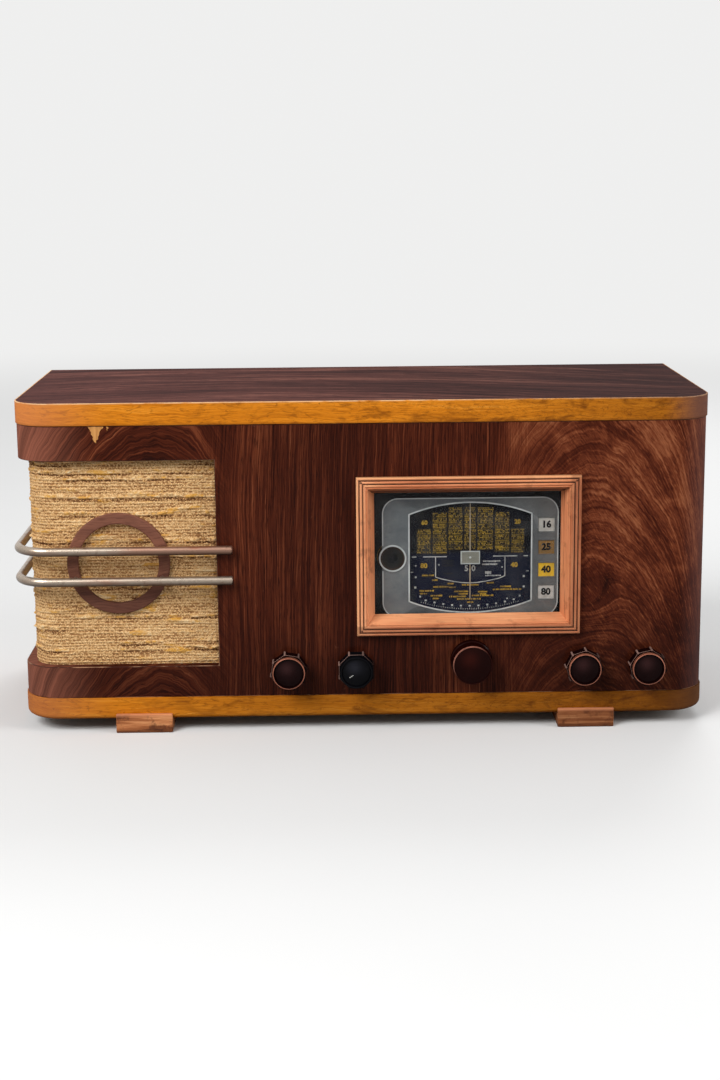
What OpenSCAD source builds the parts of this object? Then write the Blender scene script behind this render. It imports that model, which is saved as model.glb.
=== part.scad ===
// Table radio receiver in a bent plywood cabinet with a wrapped speaker corner.
// Millimetres, +Z up. The origin is on the standing surface, under the middle of the
// overall box. The front faces -Y, and the speaker corner is at -X.

/* [Cabinet] */
// Width over the light edge bands
cabinet_w = 620; // [600:1:660]
// Depth from the front veneer to the rear edge
cabinet_d = 260; // [250:1:300]
// Height from the standing surface to the top
cabinet_h = 300; // [294:1:330]
// Radius of the two front corners, over the veneer
corner_r = 34; // [30:1:38]
// Thickness of the bent plywood front and sides
wall_t = 10; // [8:0.5:11]
// Thickness of the top board and the bottom board
board_t = 20; // [17:1:24]
// How far the light bands stand out from the veneer
band_proud = 1; // [0.6:0.1:2]
// Thickness of the thin band round the top board
top_band_t = 1.2; // [1:0.1:2]
// Thickness of the solid band round the bottom board
bottom_band_t = 6; // [5.5:0.5:9]
// Rounding worked on the lower edge of the bottom band
band_round_r = 4.5; // [2:0.5:5]

/* [Feet] */
// Width of a foot
foot_w = 51; // [40:1:60]
// Depth of a foot under the bottom board
foot_d = 44; // [30:1:60]
// Height of the feet under the bottom board
foot_h = 12; // [8:1:20]
// Height to which the front lip of a foot rises over the band
foot_lip_rise = 5.5; // [4:0.5:9]
// Thickness of the front lip
foot_lip_t = 4; // [3:0.5:6]
// Distance of a foot's middle from the side of the cabinet
foot_from_side = 109; // [80:1:150]

/* [Speaker corner] */
// Width of the cut-out on the front
grille_w = 177.5; // [172:0.5:186]
// Reach of the cut-out along the left side
grille_side = 165; // [155:1:185]
// Wood left between the lower band and the cut-out
ledge_h = 29; // [22:1:36]
// Wood left between the cut-out and the top band
lintel_h = 31.5; // [24:0.5:38]
// Thickness of the grille cloth
cloth_t = 1.6; // [1:0.1:2.4]
// Thickness of the baffle board
baffle_t = 6; // [5:0.5:8]
// How far the baffle reaches behind the edges of the cut-out
baffle_lap = 15; // [10:1:18]
// Outer radius of the wooden ring
ring_outer_r = 46; // [42:0.5:50]
// Inner radius of the wooden ring
ring_inner_r = 36; // [32:0.5:39]
// Thickness of the wooden ring
ring_t = 5; // [4:0.5:7]
// Distance of the ring's middle from the left side
ring_from_side = 89.5; // [86:0.5:100]
// Diameter of the two bars
bar_d = 8; // [6:0.5:10]
// Distance between the axes of the two bars
bar_gap = 27.6; // [20:0.2:40]
// Radius of the bend in a bar's axis
bar_bend_r = 30; // [24:1:40]
// Distance of a bar's axis in front of the veneer
bar_front = 6.5; // [6:0.5:9]
// Distance of a bar's axis outside the side veneer
bar_side = 1; // [0:0.5:2]
// Length of bar over the front veneer, past the cut-out
bar_over = 14.5; // [10:0.5:30]
// Reach of a bar along the side, from the front
bar_reach = 150; // [120:1:150]
// Diameter of the posts behind the bars
post_d = 5; // [3:0.5:5.5]

/* [Loudspeaker] */
// Distance of the loudspeaker's middle from the left side
speaker_from_side = 107; // [105:0.5:110]
// Radius of the mounting flange
speaker_r = 72; // [69:0.5:73]
// Radius of the opening in the baffle
speaker_open_r = 60; // [58:0.5:62]
// Radius of the moving cone
cone_r = 56; // [52:0.5:56]
// Depth of the moving cone
cone_depth = 29; // [24:0.5:34]
// Radius of the voice coil tube
coil_r = 13; // [11:0.5:15]
// Radius of the magnet pot
magnet_r = 27; // [25:0.5:31]
// Length of the magnet pot
magnet_l = 26; // [22:0.5:34]
// Thickness of the basket sheet
basket_t = 1.5; // [1:0.1:2]

/* [Dial] */
// Distance of the pointer axis from the right side
axis_from_side = 213; // [205:0.5:221]
// Height of the pointer axis above the tuning knob's axis
axis_up = 91.25; // [89:0.25:96]
// Width of the mitred dial frame
frame_w = 200; // [196:1:210]
// Height of the mitred dial frame
frame_h = 144; // [140:1:152]
// Distance of the frame's middle left of the pointer axis
frame_left = 2.7; // [0:0.1:4]
// Height of the frame's middle above the pointer axis
frame_rise = 5; // [3:0.5:6]
// How far the frame stands out from the veneer
frame_proud = 6; // [4.5:0.5:8]
// Radius of the three beads on the frame
bead_r = 1.15; // [0.8:0.05:1.25]
// Width of the beaded face of the frame
bead_zone = 9.3; // [8.5:0.1:10.5]
// Width of the sloping reveal, seen from the front
reveal_w = 7; // [5.5:0.5:8]
// Depth of the frame behind the veneer
reveal_d = 11; // [11:0.5:14]
// Distance of the frame's tongue in from its outer edge
tongue_in = 7; // [6:0.5:8]
// Thickness of the dial glass
glass_t = 2.5; // [2:0.5:4]
// Thickness of the printed metal mask
mask_t = 0.6; // [0.4:0.1:1]
// Width of the mask
mask_w = 158.6; // [156:0.2:162]
// Height of the mask
mask_h = 110; // [107:0.5:112]
// Radius of the mask's corners
mask_corner_r = 14; // [8:0.5:18]
// Half of the width of the scale opening
scale_half_w = 55.2; // [53:0.2:55.4]
// Half of the height of the scale opening at its sides
scale_side_h = 40; // [36:0.5:44]
// Half of the height of the scale opening in its middle
scale_apex_h = 50.7; // [49.5:0.1:52]
// Gap behind the mask in which the pointer turns
pointer_gap = 5.4; // [5:0.2:8]
// Radius swept by the long end of the pointer
pointer_r = 49.5; // [45:0.5:52]
// Radius swept by the short end of the pointer
pointer_tail_r = 39; // [30:0.5:45]
// Thickness of the dark scale plate
scale_t = 0.8; // [0.5:0.1:1.2]
// Thickness of the steel plate that carries the dial
support_t = 1.2; // [1:0.1:2]
// Distance of the tuning eye left of the pointer axis
eye_left = 70; // [69:0.2:72]
// Radius of the hole for the tuning eye
eye_hole_r = 11; // [9:0.5:12]
// Radius of the tuning eye's glass
eye_r = 13.5; // [12.5:0.5:13.5]
// Length of the tuning eye's glass
eye_l = 62; // [50:1:66]
// Distance of the band windows right of the pointer axis
window_right = 68.5; // [67:0.1:69.5]
// Width of a band window
window_w = 14.5; // [12:0.5:15.5]
// Height of a band window
window_h = 12.5; // [10:0.5:15]
// Distance from one band window to the next
window_pitch = 20.7; // [19:0.1:22]
// Radius of the dial lamp glass
lamp_r = 5; // [4:0.2:5.6]

/* [Tuning drive] */
// Radius of the drum at the bottom of its groove
drum_r = 45; // [40:0.5:48]
// Width of the drum's rim
drum_rim = 6; // [5:0.2:7]
// Radius of the spool that the cord runs on
spool_r = 3.5; // [3.4:0.1:4.5]
// Diameter of the drive cord
cord_d = 1; // [0.8:0.1:1.2]
// Radius of every control spindle
spindle_r = 3; // [2.5:0.1:3.2]
// Radial running clearance of spindles and shafts
running_gap = 0.05; // [0.02:0.01:0.09]
// Gap between dial plate, drum and chassis
drive_gap = 4.5; // [4:0.5:7]
// Radius of the capacitor's moving vanes
vane_r = 27; // [24:0.5:28]
// Thickness of a vane
vane_t = 0.7; // [0.5:0.1:0.8]
// Distance from one moving vane to the next
vane_pitch = 3.6; // [3.2:0.1:3.8]
// Number of moving vanes in each gang
vane_count = 7; // [5:1:7]
// Length of one gang, between its end plates
gang_l = 34; // [32:0.5:38]

/* [Knobs] */
// Reach of the tuning knob from the front veneer
tuning_reach = 22; // [20:0.5:28]
// Radius of the tuning knob's face
tuning_knob_r = 17.7; // [15:0.1:20]
// Radius of the tuning knob's skirt
tuning_skirt_r = 18.8; // [18:0.1:22]
// Height of the tuning knob above the bottom board
tuning_up = 31.5; // [29:0.5:34]
// Reach of the small knobs from the front veneer
knob_reach = 19.5; // [17:0.5:20]
// Outer radius of a small knob's rim ring
knob_rim_r = 14.6; // [14:0.1:16]
// Width of a small knob's rim ring
knob_rim_w = 1.7; // [1.2:0.1:3]
// Corner radius of a small knob's eight-sided body
knob_body_r = 17.3; // [16.6:0.1:18]
// Height of the small knobs above the bottom board
knob_up = 25.5; // [24:0.5:28]
// Distance of the volume knob from the edge of the cut-out
volume_from_cut = 63; // [57:0.5:68]
// Place of the tone knob on the way from the volume knob to the tuning knob, from 0 to 1
tone_share = 0.368; // [0.34:0.002:0.42]
// Distance of the wave band knob right of the tuning knob
band_right = 101; // [94:0.5:108]
// Distance of the selectivity knob right of the tuning knob
selectivity_right = 158.3; // [154:0.1:162]
// Gap between a knob and the veneer
knob_gap = 1; // [0.6:0.1:2]

/* [Chassis] */
// Distance of the chassis's left end from the edge of the cut-out
chassis_from_cut = 36.5; // [34:0.5:40]
// Distance of the chassis's right end from the right side
chassis_from_side = 24; // [22:1:28]
// Distance of the opening under the chassis in from its edges
service_in = 40; // [30:1:60]
// Height of the chassis
chassis_h = 60; // [57:1:64]
// Thickness of the chassis sheet
sheet_t = 1.2; // [1:0.1:1.6]
// Radius of a valve base
base_r = 16; // [14:0.5:17]
// Height of a valve base
base_h = 24; // [18:1:28]
// Largest radius of a valve's glass
bulb_r = 20; // [17:0.5:21]
// Height of a valve's glass
bulb_h = 82; // [70:1:90]
// Distance from one valve or can to the next, as a share of the chassis's length
row_share = 0.121; // [0.116:0.001:0.121]
// Distance of the first valve from the chassis's left end, as a share of its length
first_share = 0.19; // [0.18:0.002:0.2]
// Distance of the rectifier valve in front of the row
rectifier_step = 46; // [42:0.5:50]
// Distance of the row of valves from the chassis's rear wall
row_from_rear = 50; // [46:1:54]
// Width of the power transformer
transformer_w = 62; // [54:1:64]
// Height of the power transformer
transformer_h = 58; // [50:1:64]
// Side of a square coil can
can_w = 34; // [28:0.5:38]
// Height of a coil can
can_h = 76; // [60:1:90]
// Radius of a smoothing capacitor can
filter_r = 17.5; // [14:0.5:18]
// Height of a smoothing capacitor can
filter_h = 80; // [60:1:95]
// Radius of the plug holes in the rear sockets
socket_r = 2; // [1.8:0.05:2.2]
// Length of a rear socket
socket_l = 10; // [8:0.5:12]
// Radius of the hole in the mains grommet
grommet_r = 3.5; // [3:0.1:4.5]

/* [Rear] */
// Thickness of the hardboard rear cover
cover_t = 3; // [2:0.5:4]
// Distance of the rear cover in from the rear edge
cover_in = 6; // [4:0.5:8]
// Width of the battens that hold the rear cover
batten_w = 12; // [10:0.5:15]
// Width of a vent slot
slot_w = 6; // [4:0.5:8]
// Height of a vent slot
slot_h = 34; // [24:1:40]
// Radius of the round vents behind the loudspeaker
speaker_vent_r = 9; // [6:0.5:12]
// Distance of the round vents from the loudspeaker's axis
speaker_vent_at = 34; // [28:1:40]

/* [Hidden] */
$fn = 96;

// How far a cutting tool runs past the face that it cuts
past = 1;

// Cabinet
veneer_w = cabinet_w - 2 * band_proud;
front_y = (tuning_reach - cabinet_d) / 2;
rear_y = front_y + cabinet_d;
left_x = -veneer_w / 2;
floor_z = foot_h + board_t;
ceiling_z = cabinet_h - board_t;
inner_half_w = veneer_w / 2 - wall_t;
foot_x = veneer_w / 2 - foot_from_side;

// Speaker corner
cut_x = left_x + grille_w;
cut_z0 = floor_z + ledge_h;
cut_z1 = ceiling_z - lintel_h;
grille_z = (cut_z0 + cut_z1) / 2;
ring_x = left_x + ring_from_side;
cloth_y = front_y + wall_t;
baffle_y = cloth_y + cloth_t;
speaker_y = baffle_y + baffle_t;
speaker_x = left_x + speaker_from_side;
bar_y = front_y - bar_front;
bar_x = left_x - bar_side;
bar_end_x = cut_x + bar_over;
bar_end_y = front_y + bar_reach;
bar_chamfer = 0.8;

// Loudspeaker, from the baffle backwards
gasket_t = 1;
flange_y = speaker_y + gasket_t;
basket_y = flange_y + basket_t;
cone_t = 0.8;
former_t = 0.4;
cone_gap = 0.4;
neck_r = coil_r + former_t;
coil_room = 10;
pot_y = basket_y + cone_depth + coil_room;
pot_gap = 1.2;
pot_bore_r = neck_r + pot_gap;
pole_r = coil_r - pot_gap;
flange_lap = 6;

// Tuning and dial axes
axis_x = -left_x - axis_from_side;
tuning_z = floor_z + tuning_up;
axis_z = tuning_z + axis_up;

// Dial stack, from the frame backwards
frame_x = axis_x - frame_left;
frame_z = axis_z + frame_rise;
frame_rim = bead_zone + reveal_w;
glass_y = front_y + reveal_d;
mask_y = glass_y + glass_t;
mask_back_y = mask_y + mask_t;
scale_y = mask_back_y + pointer_gap;
support_y = scale_y + scale_t;
plate_back_y = support_y + support_t;
glass_lap = 5;
window_t = 0.8;
window_drop = 1.6;
eye_x = axis_x - eye_left;
window_x = axis_x + window_right;

// Controls and tuning drive
volume_x = cut_x + volume_from_cut;
tone_x = volume_x + tone_share * (axis_x - volume_x);
band_x = axis_x + band_right;
selectivity_x = axis_x + selectivity_right;
knob_z = floor_z + knob_up;
rim_y = plate_back_y + drive_gap;
rim_back_y = rim_y + drum_rim;
cord_y = rim_y + drum_rim / 2;
hub_over = 1.5;
chassis_y = rim_back_y + drive_gap + hub_over;
cover_gap = 3;
pan_back_y = rear_y - cover_in - cover_t - cover_gap;
pan_right = -left_x - chassis_from_side;
pan_left = cut_x + chassis_from_cut;
chassis_l = pan_right - pan_left;
deck_z = floor_z + chassis_h;
flange_over = 2;
cord_gap = 0.15;
cord_drum_r = drum_r + cord_gap + cord_d / 2;
cord_spool_r = spool_r + cord_gap + cord_d / 2;
shaft_hole_r = spindle_r + running_gap;

// Capacitor
plate_t = 1.5;
cap_y = chassis_y + 2;
cap_back_y = cap_y + 3 * plate_t + 2 * gang_l;
cap_half_w = vane_r + 3.5;
cap_floor_z = axis_z - vane_r - 9;
rail_r = 1.5;
rail_at = vane_r + 2.6;

// Bushes of the controls
bush_r = 4.6;
control_y = chassis_y + sheet_t;
spindle_in = 12;

// Valves and cans stand in a row, with the rectifier in front of its end
row_y = pan_back_y - row_from_rear;
row_x = pan_left + first_share * chassis_l;
row_step = row_share * chassis_l;
socket_t = 4;
rectifier_place = [row_x + 4 * row_step, row_y - rectifier_step];
valve_places = concat([for (i = [0 : 2 : 4]) [row_x + i * row_step, row_y]], [rectifier_place]);
can_places = [for (i = [1 : 2 : 3]) [row_x + i * row_step, row_y]];

// Colours
rosewood = [0.27, 0.09, 0.06];
maple = [0.78, 0.46, 0.16];
footwood = [0.70, 0.40, 0.27];
framewood = [0.78, 0.50, 0.38];
cloth_tone = [0.80, 0.74, 0.62];
ringwood = [0.36, 0.22, 0.19];
nickel = [0.52, 0.47, 0.42];
plywood = [0.66, 0.50, 0.33];
steel = [0.62, 0.63, 0.64];
aluminium = [0.78, 0.79, 0.80];
dark_plate = [0.10, 0.11, 0.15];
mask_grey = [0.43, 0.47, 0.48];
bakelite = [0.12, 0.06, 0.04];
black = [0.06, 0.06, 0.06];
brass = [0.72, 0.55, 0.25];
paper = [0.20, 0.19, 0.18];
glass = [0.75, 0.80, 0.82, 0.35];
hardboard = [0.36, 0.24, 0.15];
copper_wire = [0.55, 0.27, 0.12];

// A flat shape in X and Z, made solid from y0 back to y1
module along_y(y0, y1) {
    translate([0, y1, 0])
        rotate([90, 0, 0])
            linear_extrude(y1 - y0)
                children();
}

// A round rod along Y
module rod_y(x, z, r, y0, y1) {
    translate([x, y1, z])
        rotate([90, 0, 0])
            cylinder(r = r, h = y1 - y0);
}

// A cutter for a hole through two faces
module bore_y(x, z, r, y0, y1) {
    rod_y(x, z, r, y0 - past, y1 + past);
}

// A profile of radius and forward distance, turned about a Y axis
module turned(x, y, z) {
    translate([x, y, z])
        rotate([90, 0, 0])
            rotate_extrude()
                children();
}

// A rectangle centred on a point
module plate_2d(x, z, w, h) {
    translate([x - w / 2, z - h / 2])
        square([w, h]);
}

// A rectangle with round corners, centred on a point
module soft_plate_2d(x, z, w, h, r) {
    plate_2d(x, z, w - 2 * r, h);
    plate_2d(x, z, w, h - 2 * r);
    for (sx = [-1, 1], sz = [-1, 1])
        translate([x + sx * (w / 2 - r), z + sz * (h / 2 - r)])
            circle(r);
}

// The cabinet seen from above, drawn in from the veneer
module plan_2d(inset, back_y) {
    half = veneer_w / 2 - inset;
    r = corner_r - inset;
    y0 = front_y + inset;
    translate([-half, y0 + r])
        square([2 * half, back_y - y0 - r]);
    translate([-half + r, y0])
        square([2 * (half - r), r + past]);
    for (side = [-1, 1])
        translate([side * (half - r), y0 + r])
            circle(r);
}

// A wall that follows the front and both sides
module wrap(outer, inner, z0, z1) {
    translate([0, 0, z0])
        linear_extrude(z1 - z0)
            difference() {
                plan_2d(outer, rear_y);
                plan_2d(inner, rear_y + past);
            }
}

// The part of such a wall that lies behind the speaker cut-out
module corner_wrap(outer, inner, lap) {
    intersection() {
        wrap(outer, inner, cut_z0 - lap, cut_z1 + lap);
        translate([left_x - past, front_y - past, 0])
            cube([grille_w + lap + past, grille_side + lap + past, cabinet_h]);
    }
}

// Places of the four small controls, from left to right
function small_controls() = [volume_x, tone_x, band_x, selectivity_x];

module front_panel() {
    hole_r = spindle_r + 2;
    color(rosewood)
        difference() {
            wrap(0, wall_t, floor_z, ceiling_z);
            translate([left_x - past, front_y - past, cut_z0])
                cube([grille_w + past, grille_side + past, cut_z1 - cut_z0]);
            along_y(front_y - past, front_y + wall_t + past)
                plate_2d(frame_x, frame_z, frame_w - 2 * tongue_in + 0.4, frame_h - 2 * tongue_in + 0.4);
            bore_y(axis_x, tuning_z, hole_r, front_y, front_y + wall_t);
            for (x = small_controls())
                bore_y(x, knob_z, hole_r, front_y, front_y + wall_t);
        }
}

module top_board() {
    color(rosewood)
        translate([0, 0, ceiling_z])
            linear_extrude(board_t)
                plan_2d(top_band_t - band_proud, rear_y);
}

module top_band() {
    color(maple)
        wrap(-band_proud, top_band_t - band_proud, ceiling_z, cabinet_h);
}

// A service opening lies under the chassis, between its corner lugs
module bottom_board() {
    opening_r = 6;
    opening_w = chassis_l - 2 * service_in;
    opening_d = pan_back_y - chassis_y - 2 * service_in;
    color(plywood)
        difference() {
            translate([0, 0, foot_h])
                linear_extrude(board_t)
                    plan_2d(bottom_band_t - band_proud, rear_y);
            translate([pan_left + chassis_l / 2, (chassis_y + pan_back_y) / 2, foot_h - past])
                linear_extrude(board_t + 2 * past)
                    soft_plate_2d(0, 0, opening_w, opening_d, opening_r);
            for (p = bolt_places())
                translate([p[0], p[1], foot_h - past])
                    cylinder(r = bolt_r + 0.3, h = board_t + 2 * past);
        }
}

// Section of the bottom band, outwards from its inner face
module band_section_2d() {
    flat = bottom_band_t - band_round_r;
    difference() {
        square([bottom_band_t, board_t]);
        difference() {
            translate([flat, -past])
                square([band_round_r + past, band_round_r + past]);
            translate([flat, band_round_r])
                circle(band_round_r);
        }
    }
}

module bottom_band() {
    inner = bottom_band_t - band_proud;
    run = veneer_w - 2 * corner_r;
    side_l = rear_y - front_y - corner_r;
    color(maple)
        translate([0, front_y + corner_r, foot_h]) {
            translate([run / 2, inner - corner_r, 0])
                rotate([90, 0, -90])
                    linear_extrude(run)
                        band_section_2d();
            for (side = [0, 1])
                mirror([side, 0, 0]) {
                    translate([run / 2, 0, 0])
                        rotate([0, 0, -90])
                            rotate_extrude(angle = 90)
                                translate([corner_r - inner, 0])
                                    band_section_2d();
                    translate([run / 2 + corner_r - inner, side_l, 0])
                        rotate([90, 0, 0])
                            linear_extrude(side_l)
                                band_section_2d();
                }
        }
}

// Two upright battens and two front corner blocks, glued inside the walls
module rear_battens() {
    batten_y = rear_y - cover_in - cover_t;
    block = 14;
    color(plywood) {
        for (side = [-1, 1])
            translate([side * (inner_half_w - batten_w / 2) - batten_w / 2, batten_y - batten_w, floor_z])
                cube([batten_w, batten_w, ceiling_z - floor_z]);
        translate([-inner_half_w + batten_w, batten_y - batten_w, ceiling_z - batten_w])
            cube([2 * (inner_half_w - batten_w), batten_w, batten_w]);
        translate([inner_half_w - block, front_y + corner_r, ceiling_z - block])
            cube([block, 60, block]);
        translate([inner_half_w - block, front_y + corner_r, floor_z])
            cube([block, 60, block]);
    }
}

// Side view of a foot, forwards from the face of the band
module foot_2d(lip) {
    r = 1.9;
    translate([-foot_d, 0])
        square([foot_d, foot_h]);
    if (lip)
        difference() {
            soft_plate_2d((foot_lip_t - 2 * r) / 2, (foot_h + foot_lip_rise) / 2,
                          foot_lip_t + 2 * r, foot_h + foot_lip_rise, r);
            translate([-2 * r - past, foot_h])
                square([2 * r + past, foot_lip_rise + past]);
        }
}

module feet() {
    color(footwood)
        for (side = [-1, 1]) {
            translate([side * foot_x + foot_w / 2, front_y - band_proud, 0])
                rotate([90, 0, -90])
                    linear_extrude(foot_w)
                        foot_2d(true);
            translate([side * foot_x - foot_w / 2, rear_y, 0])
                rotate([90, 0, 90])
                    linear_extrude(foot_w)
                        foot_2d(false);
        }
}

module baffle_board() {
    color(plywood)
        difference() {
            corner_wrap(wall_t + cloth_t, wall_t + cloth_t + baffle_t, baffle_lap);
            rod_y(speaker_x, grille_z, speaker_open_r, front_y, speaker_y + past);
        }
}

module grille_cloth() {
    color(cloth_tone)
        corner_wrap(wall_t, wall_t + cloth_t, baffle_lap - 2);
}

module grille_ring() {
    r = 1.5;
    w = ring_outer_r - ring_inner_r;
    color(ringwood)
        turned(ring_x, cloth_y, grille_z) {
            translate([ring_inner_r, 0])
                square([w, ring_t - r]);
            translate([ring_inner_r + r, 0])
                square([w - 2 * r, ring_t]);
            for (at = [ring_inner_r + r, ring_outer_r - r])
                translate([at, ring_t - r])
                    circle(r);
        }
}

// A round bar end with a small chamfer, along +X
module bar_run(length) {
    rotate([0, 90, 0]) {
        cylinder(d = bar_d, h = length - bar_chamfer);
        translate([0, 0, length - bar_chamfer])
            cylinder(d1 = bar_d, d2 = bar_d - 2 * bar_chamfer, h = bar_chamfer);
    }
}

// A bar runs along the front, round the corner and back along the side
module bar(z) {
    color(nickel)
        translate([bar_x + bar_bend_r, bar_y + bar_bend_r, z]) {
            translate([0, -bar_bend_r, 0])
                bar_run(bar_end_x - bar_x - bar_bend_r);
            rotate([0, 0, 180])
                rotate_extrude(angle = 90)
                    translate([bar_bend_r, 0])
                        circle(d = bar_d);
            translate([-bar_bend_r, 0, 0])
                rotate([0, 0, 90])
                    bar_run(bar_end_y - bar_y - bar_bend_r);
        }
}

module upper_bar() {
    bar(grille_z + bar_gap / 2);
}

module lower_bar() {
    bar(grille_z - bar_gap / 2);
}

// Posts stand on the veneer, on the ring and on the cloth, each with a saddle for its bar
module bar_posts() {
    ring_mid_r = (ring_outer_r + ring_inner_r) / 2;
    crossing = sqrt(ring_mid_r * ring_mid_r - bar_gap * bar_gap / 4);
    color(nickel)
        for (side = [-1, 1]) {
            z = grille_z + side * bar_gap / 2;
            difference() {
                union() {
                    rod_y(cut_x + bar_over / 2, z, post_d / 2, bar_y, front_y);
                    for (s = [-1, 1])
                        rod_y(ring_x + s * crossing, z, post_d / 2, bar_y, cloth_y - ring_t);
                }
                translate([left_x, bar_y, z])
                    rotate([0, 90, 0])
                        cylinder(d = bar_d, h = grille_w + 2 * bar_over);
            }
            difference() {
                translate([bar_x, bar_end_y - 2 * post_d, z])
                    rotate([0, 90, 0])
                        cylinder(d = post_d, h = left_x + wall_t - bar_x);
                translate([bar_x, bar_end_y + past, z])
                    rotate([90, 0, 0])
                        cylinder(d = bar_d, h = 5 * post_d);
            }
        }
}

// Basket with a flat flange, a conical body with four windows and a rear seat
module speaker_frame() {
    seat_r = magnet_r + 3;
    body_l = pot_y - flange_y;
    wide_r = cone_r + 9;
    half_a = 28;
    far = 2 * speaker_r;
    color(steel)
        difference() {
            turned(speaker_x, flange_y, grille_z)
                mirror([0, 1])
                    polygon([
                        [cone_r + 4, 0], [speaker_r, 0], [speaker_r, basket_t], [wide_r + basket_t, basket_t],
                        [seat_r + basket_t, body_l], [pot_bore_r + 0.8, body_l], [pot_bore_r + 0.8, body_l - basket_t],
                        [seat_r, body_l - basket_t], [wide_r, basket_t], [cone_r + 4, basket_t]
                    ]);
            for (a = [45 : 90 : 315])
                translate([speaker_x, 0, grille_z])
                    rotate([0, a, 0])
                        along_y(flange_y + basket_t + 6, pot_y - basket_t - 5)
                            polygon([[0, 0], far * [cos(half_a), -sin(half_a)], far * [cos(half_a), sin(half_a)]]);
            for (a = [0 : 90 : 270])
                bore_y(speaker_x + (speaker_r - 3.5) * cos(a), grille_z + (speaker_r - 3.5) * sin(a), 2,
                      flange_y, flange_y + basket_t);
        }
}

// Corrugated paper edge with its gasket, and the centring disc over the magnet
module speaker_surround() {
    roll_r = 1.6;
    disc_y = pot_y - basket_t - 4;
    disc_r = magnet_r;
    color(paper) {
        turned(speaker_x, flange_y, grille_z) {
            translate([cone_r + cone_gap, 0])
                square([speaker_r - cone_r - cone_gap - 1, gasket_t * 0.5]);
            translate([speaker_open_r + 0.5, 0])
                square([speaker_r - speaker_open_r - 1.5, gasket_t]);
            intersection() {
                translate([(cone_r + speaker_open_r) / 2, 0])
                    circle(roll_r);
                square([speaker_r, gasket_t]);
            }
        }
        turned(speaker_x, disc_y, grille_z)
            mirror([0, 1]) {
                translate([neck_r + cone_gap, 0])
                    square([disc_r - neck_r - cone_gap, 0.5]);
                translate([disc_r - 2, 0])
                    square([2, 4]);
            }
    }
}

// Curved paper cone, dust cap and voice coil tube
module speaker_cone() {
    steps = 10;
    rim = basket_y - cone_t;
    tail = pot_y + 6 - rim;
    function flare(t) = [neck_r + (cone_r - neck_r) * t, cone_depth * (1 - pow(t, 1.25))];
    front = [for (i = [0 : steps]) flare(i / steps)];
    back = [for (i = [steps : -1 : 0]) flare(i / steps) + [0, cone_t]];
    color(paper)
        turned(speaker_x, rim, grille_z)
            mirror([0, 1]) {
                polygon(concat(front, back));
                translate([coil_r, cone_depth])
                    square([former_t, tail - cone_depth]);
                translate([0, cone_depth - 4])
                    polygon([
                        [0, 0], [coil_r * 0.5, 0.9], [coil_r * 0.85, 2.6], [neck_r, 4.2],
                        [neck_r, 5], [coil_r * 0.8, 3.4], [coil_r * 0.45, 1.7], [0, 0.8]
                    ]);
            }
}

// Magnet pot with its front plate and centre pole
module speaker_magnet() {
    plate = 5;
    floor_in = 12;
    color(steel)
        turned(speaker_x, pot_y, grille_z)
            mirror([0, 1])
                polygon([
                    [pot_bore_r, 0], [magnet_r, 0], [magnet_r, magnet_l - 2], [magnet_r - 2, magnet_l], [0, magnet_l],
                    [0, 0], [pole_r, 0], [pole_r, floor_in], [pot_bore_r + 4, floor_in], [pot_bore_r + 4, plate],
                    [pot_bore_r, plate]
                ]);
}

// Laminated core with a coil through its window, along X
module laminated(x, y, z, w, d, h, coil_over) {
    lug = 8;
    color(steel) {
        difference() {
            translate([x - w / 2, y - d / 2, z])
                cube([w, d, h]);
            for (s = [-1, 1])
                translate([x + s * w / 4 - w / 12, y - d / 2 - past, z + h / 6])
                    cube([w / 6, d + 2 * past, h * 2 / 3]);
        }
        for (s = [-1, 1])
            translate([x + s * (w / 2 + lug / 2) - lug / 2, y - d / 2, z])
                difference() {
                    cube([lug, d, plate_t]);
                    translate([lug / 2, d / 2, -past])
                        cylinder(r = 1.6, h = plate_t + 2 * past);
                }
    }
    color(copper_wire)
        difference() {
            translate([0, 0, z + h / 6])
                linear_extrude(h * 2 / 3)
                    soft_plate_2d(x, y, w * 2 / 3, d + 2 * coil_over, coil_over * 0.6);
            translate([x - w / 6, y - d / 2, z])
                cube([w / 3, d, h]);
            for (s = [-1, 1])
                translate([x + s * w / 2 - w / 6, y - d / 2, z])
                    cube([w / 3, d, h]);
        }
}

module output_transformer() {
    core_w = 30;
    core_d = 18;
    coil_over = 5;
    from_left = 24;
    from_front = 60;
    laminated(pan_left + from_left, chassis_y + from_front, deck_z, core_w, core_d, core_w, coil_over);
}

// Section of the dial frame, inwards from its outer edge and forwards from the veneer
module frame_section_2d() {
    base = frame_proud - bead_r;
    bead_step = (bead_zone - 0.6 - 2 * bead_r) / 2;
    polygon([
        [0, 0], [0, base], [bead_zone, base],
        [bead_zone + reveal_w * (frame_proud - base) / (frame_proud + reveal_d), base],
        [frame_rim, -reveal_d], [tongue_in, -reveal_d], [tongue_in, 0]
    ]);
    for (i = [0 : 2])
        translate([bead_r + i * bead_step, base])
            circle(bead_r);
}

// One side of the frame with mitred ends, standing on z = 0
module frame_side(length) {
    joint = 0.05;
    intersection() {
        rotate(a = 180, v = [1, 0, 1])
            translate([0, 0, -length / 2])
                linear_extrude(length)
                    frame_section_2d();
        along_y(-frame_proud - past, reveal_d + past)
            polygon([
                [-length / 2 + joint, 0], [length / 2 - joint, 0],
                [length / 2 - joint - frame_rim - past, frame_rim + past],
                [-length / 2 + joint + frame_rim + past, frame_rim + past]
            ]);
    }
}

module dial_frame() {
    color(framewood)
        translate([frame_x, front_y, frame_z]) {
            for (turn = [0 : 90 : 270])
                rotate([0, turn, 0])
                    translate([0, 0, turn % 180 == 0 ? -frame_h / 2 : -frame_w / 2])
                        frame_side(turn % 180 == 0 ? frame_w : frame_h);
        }
}

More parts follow.
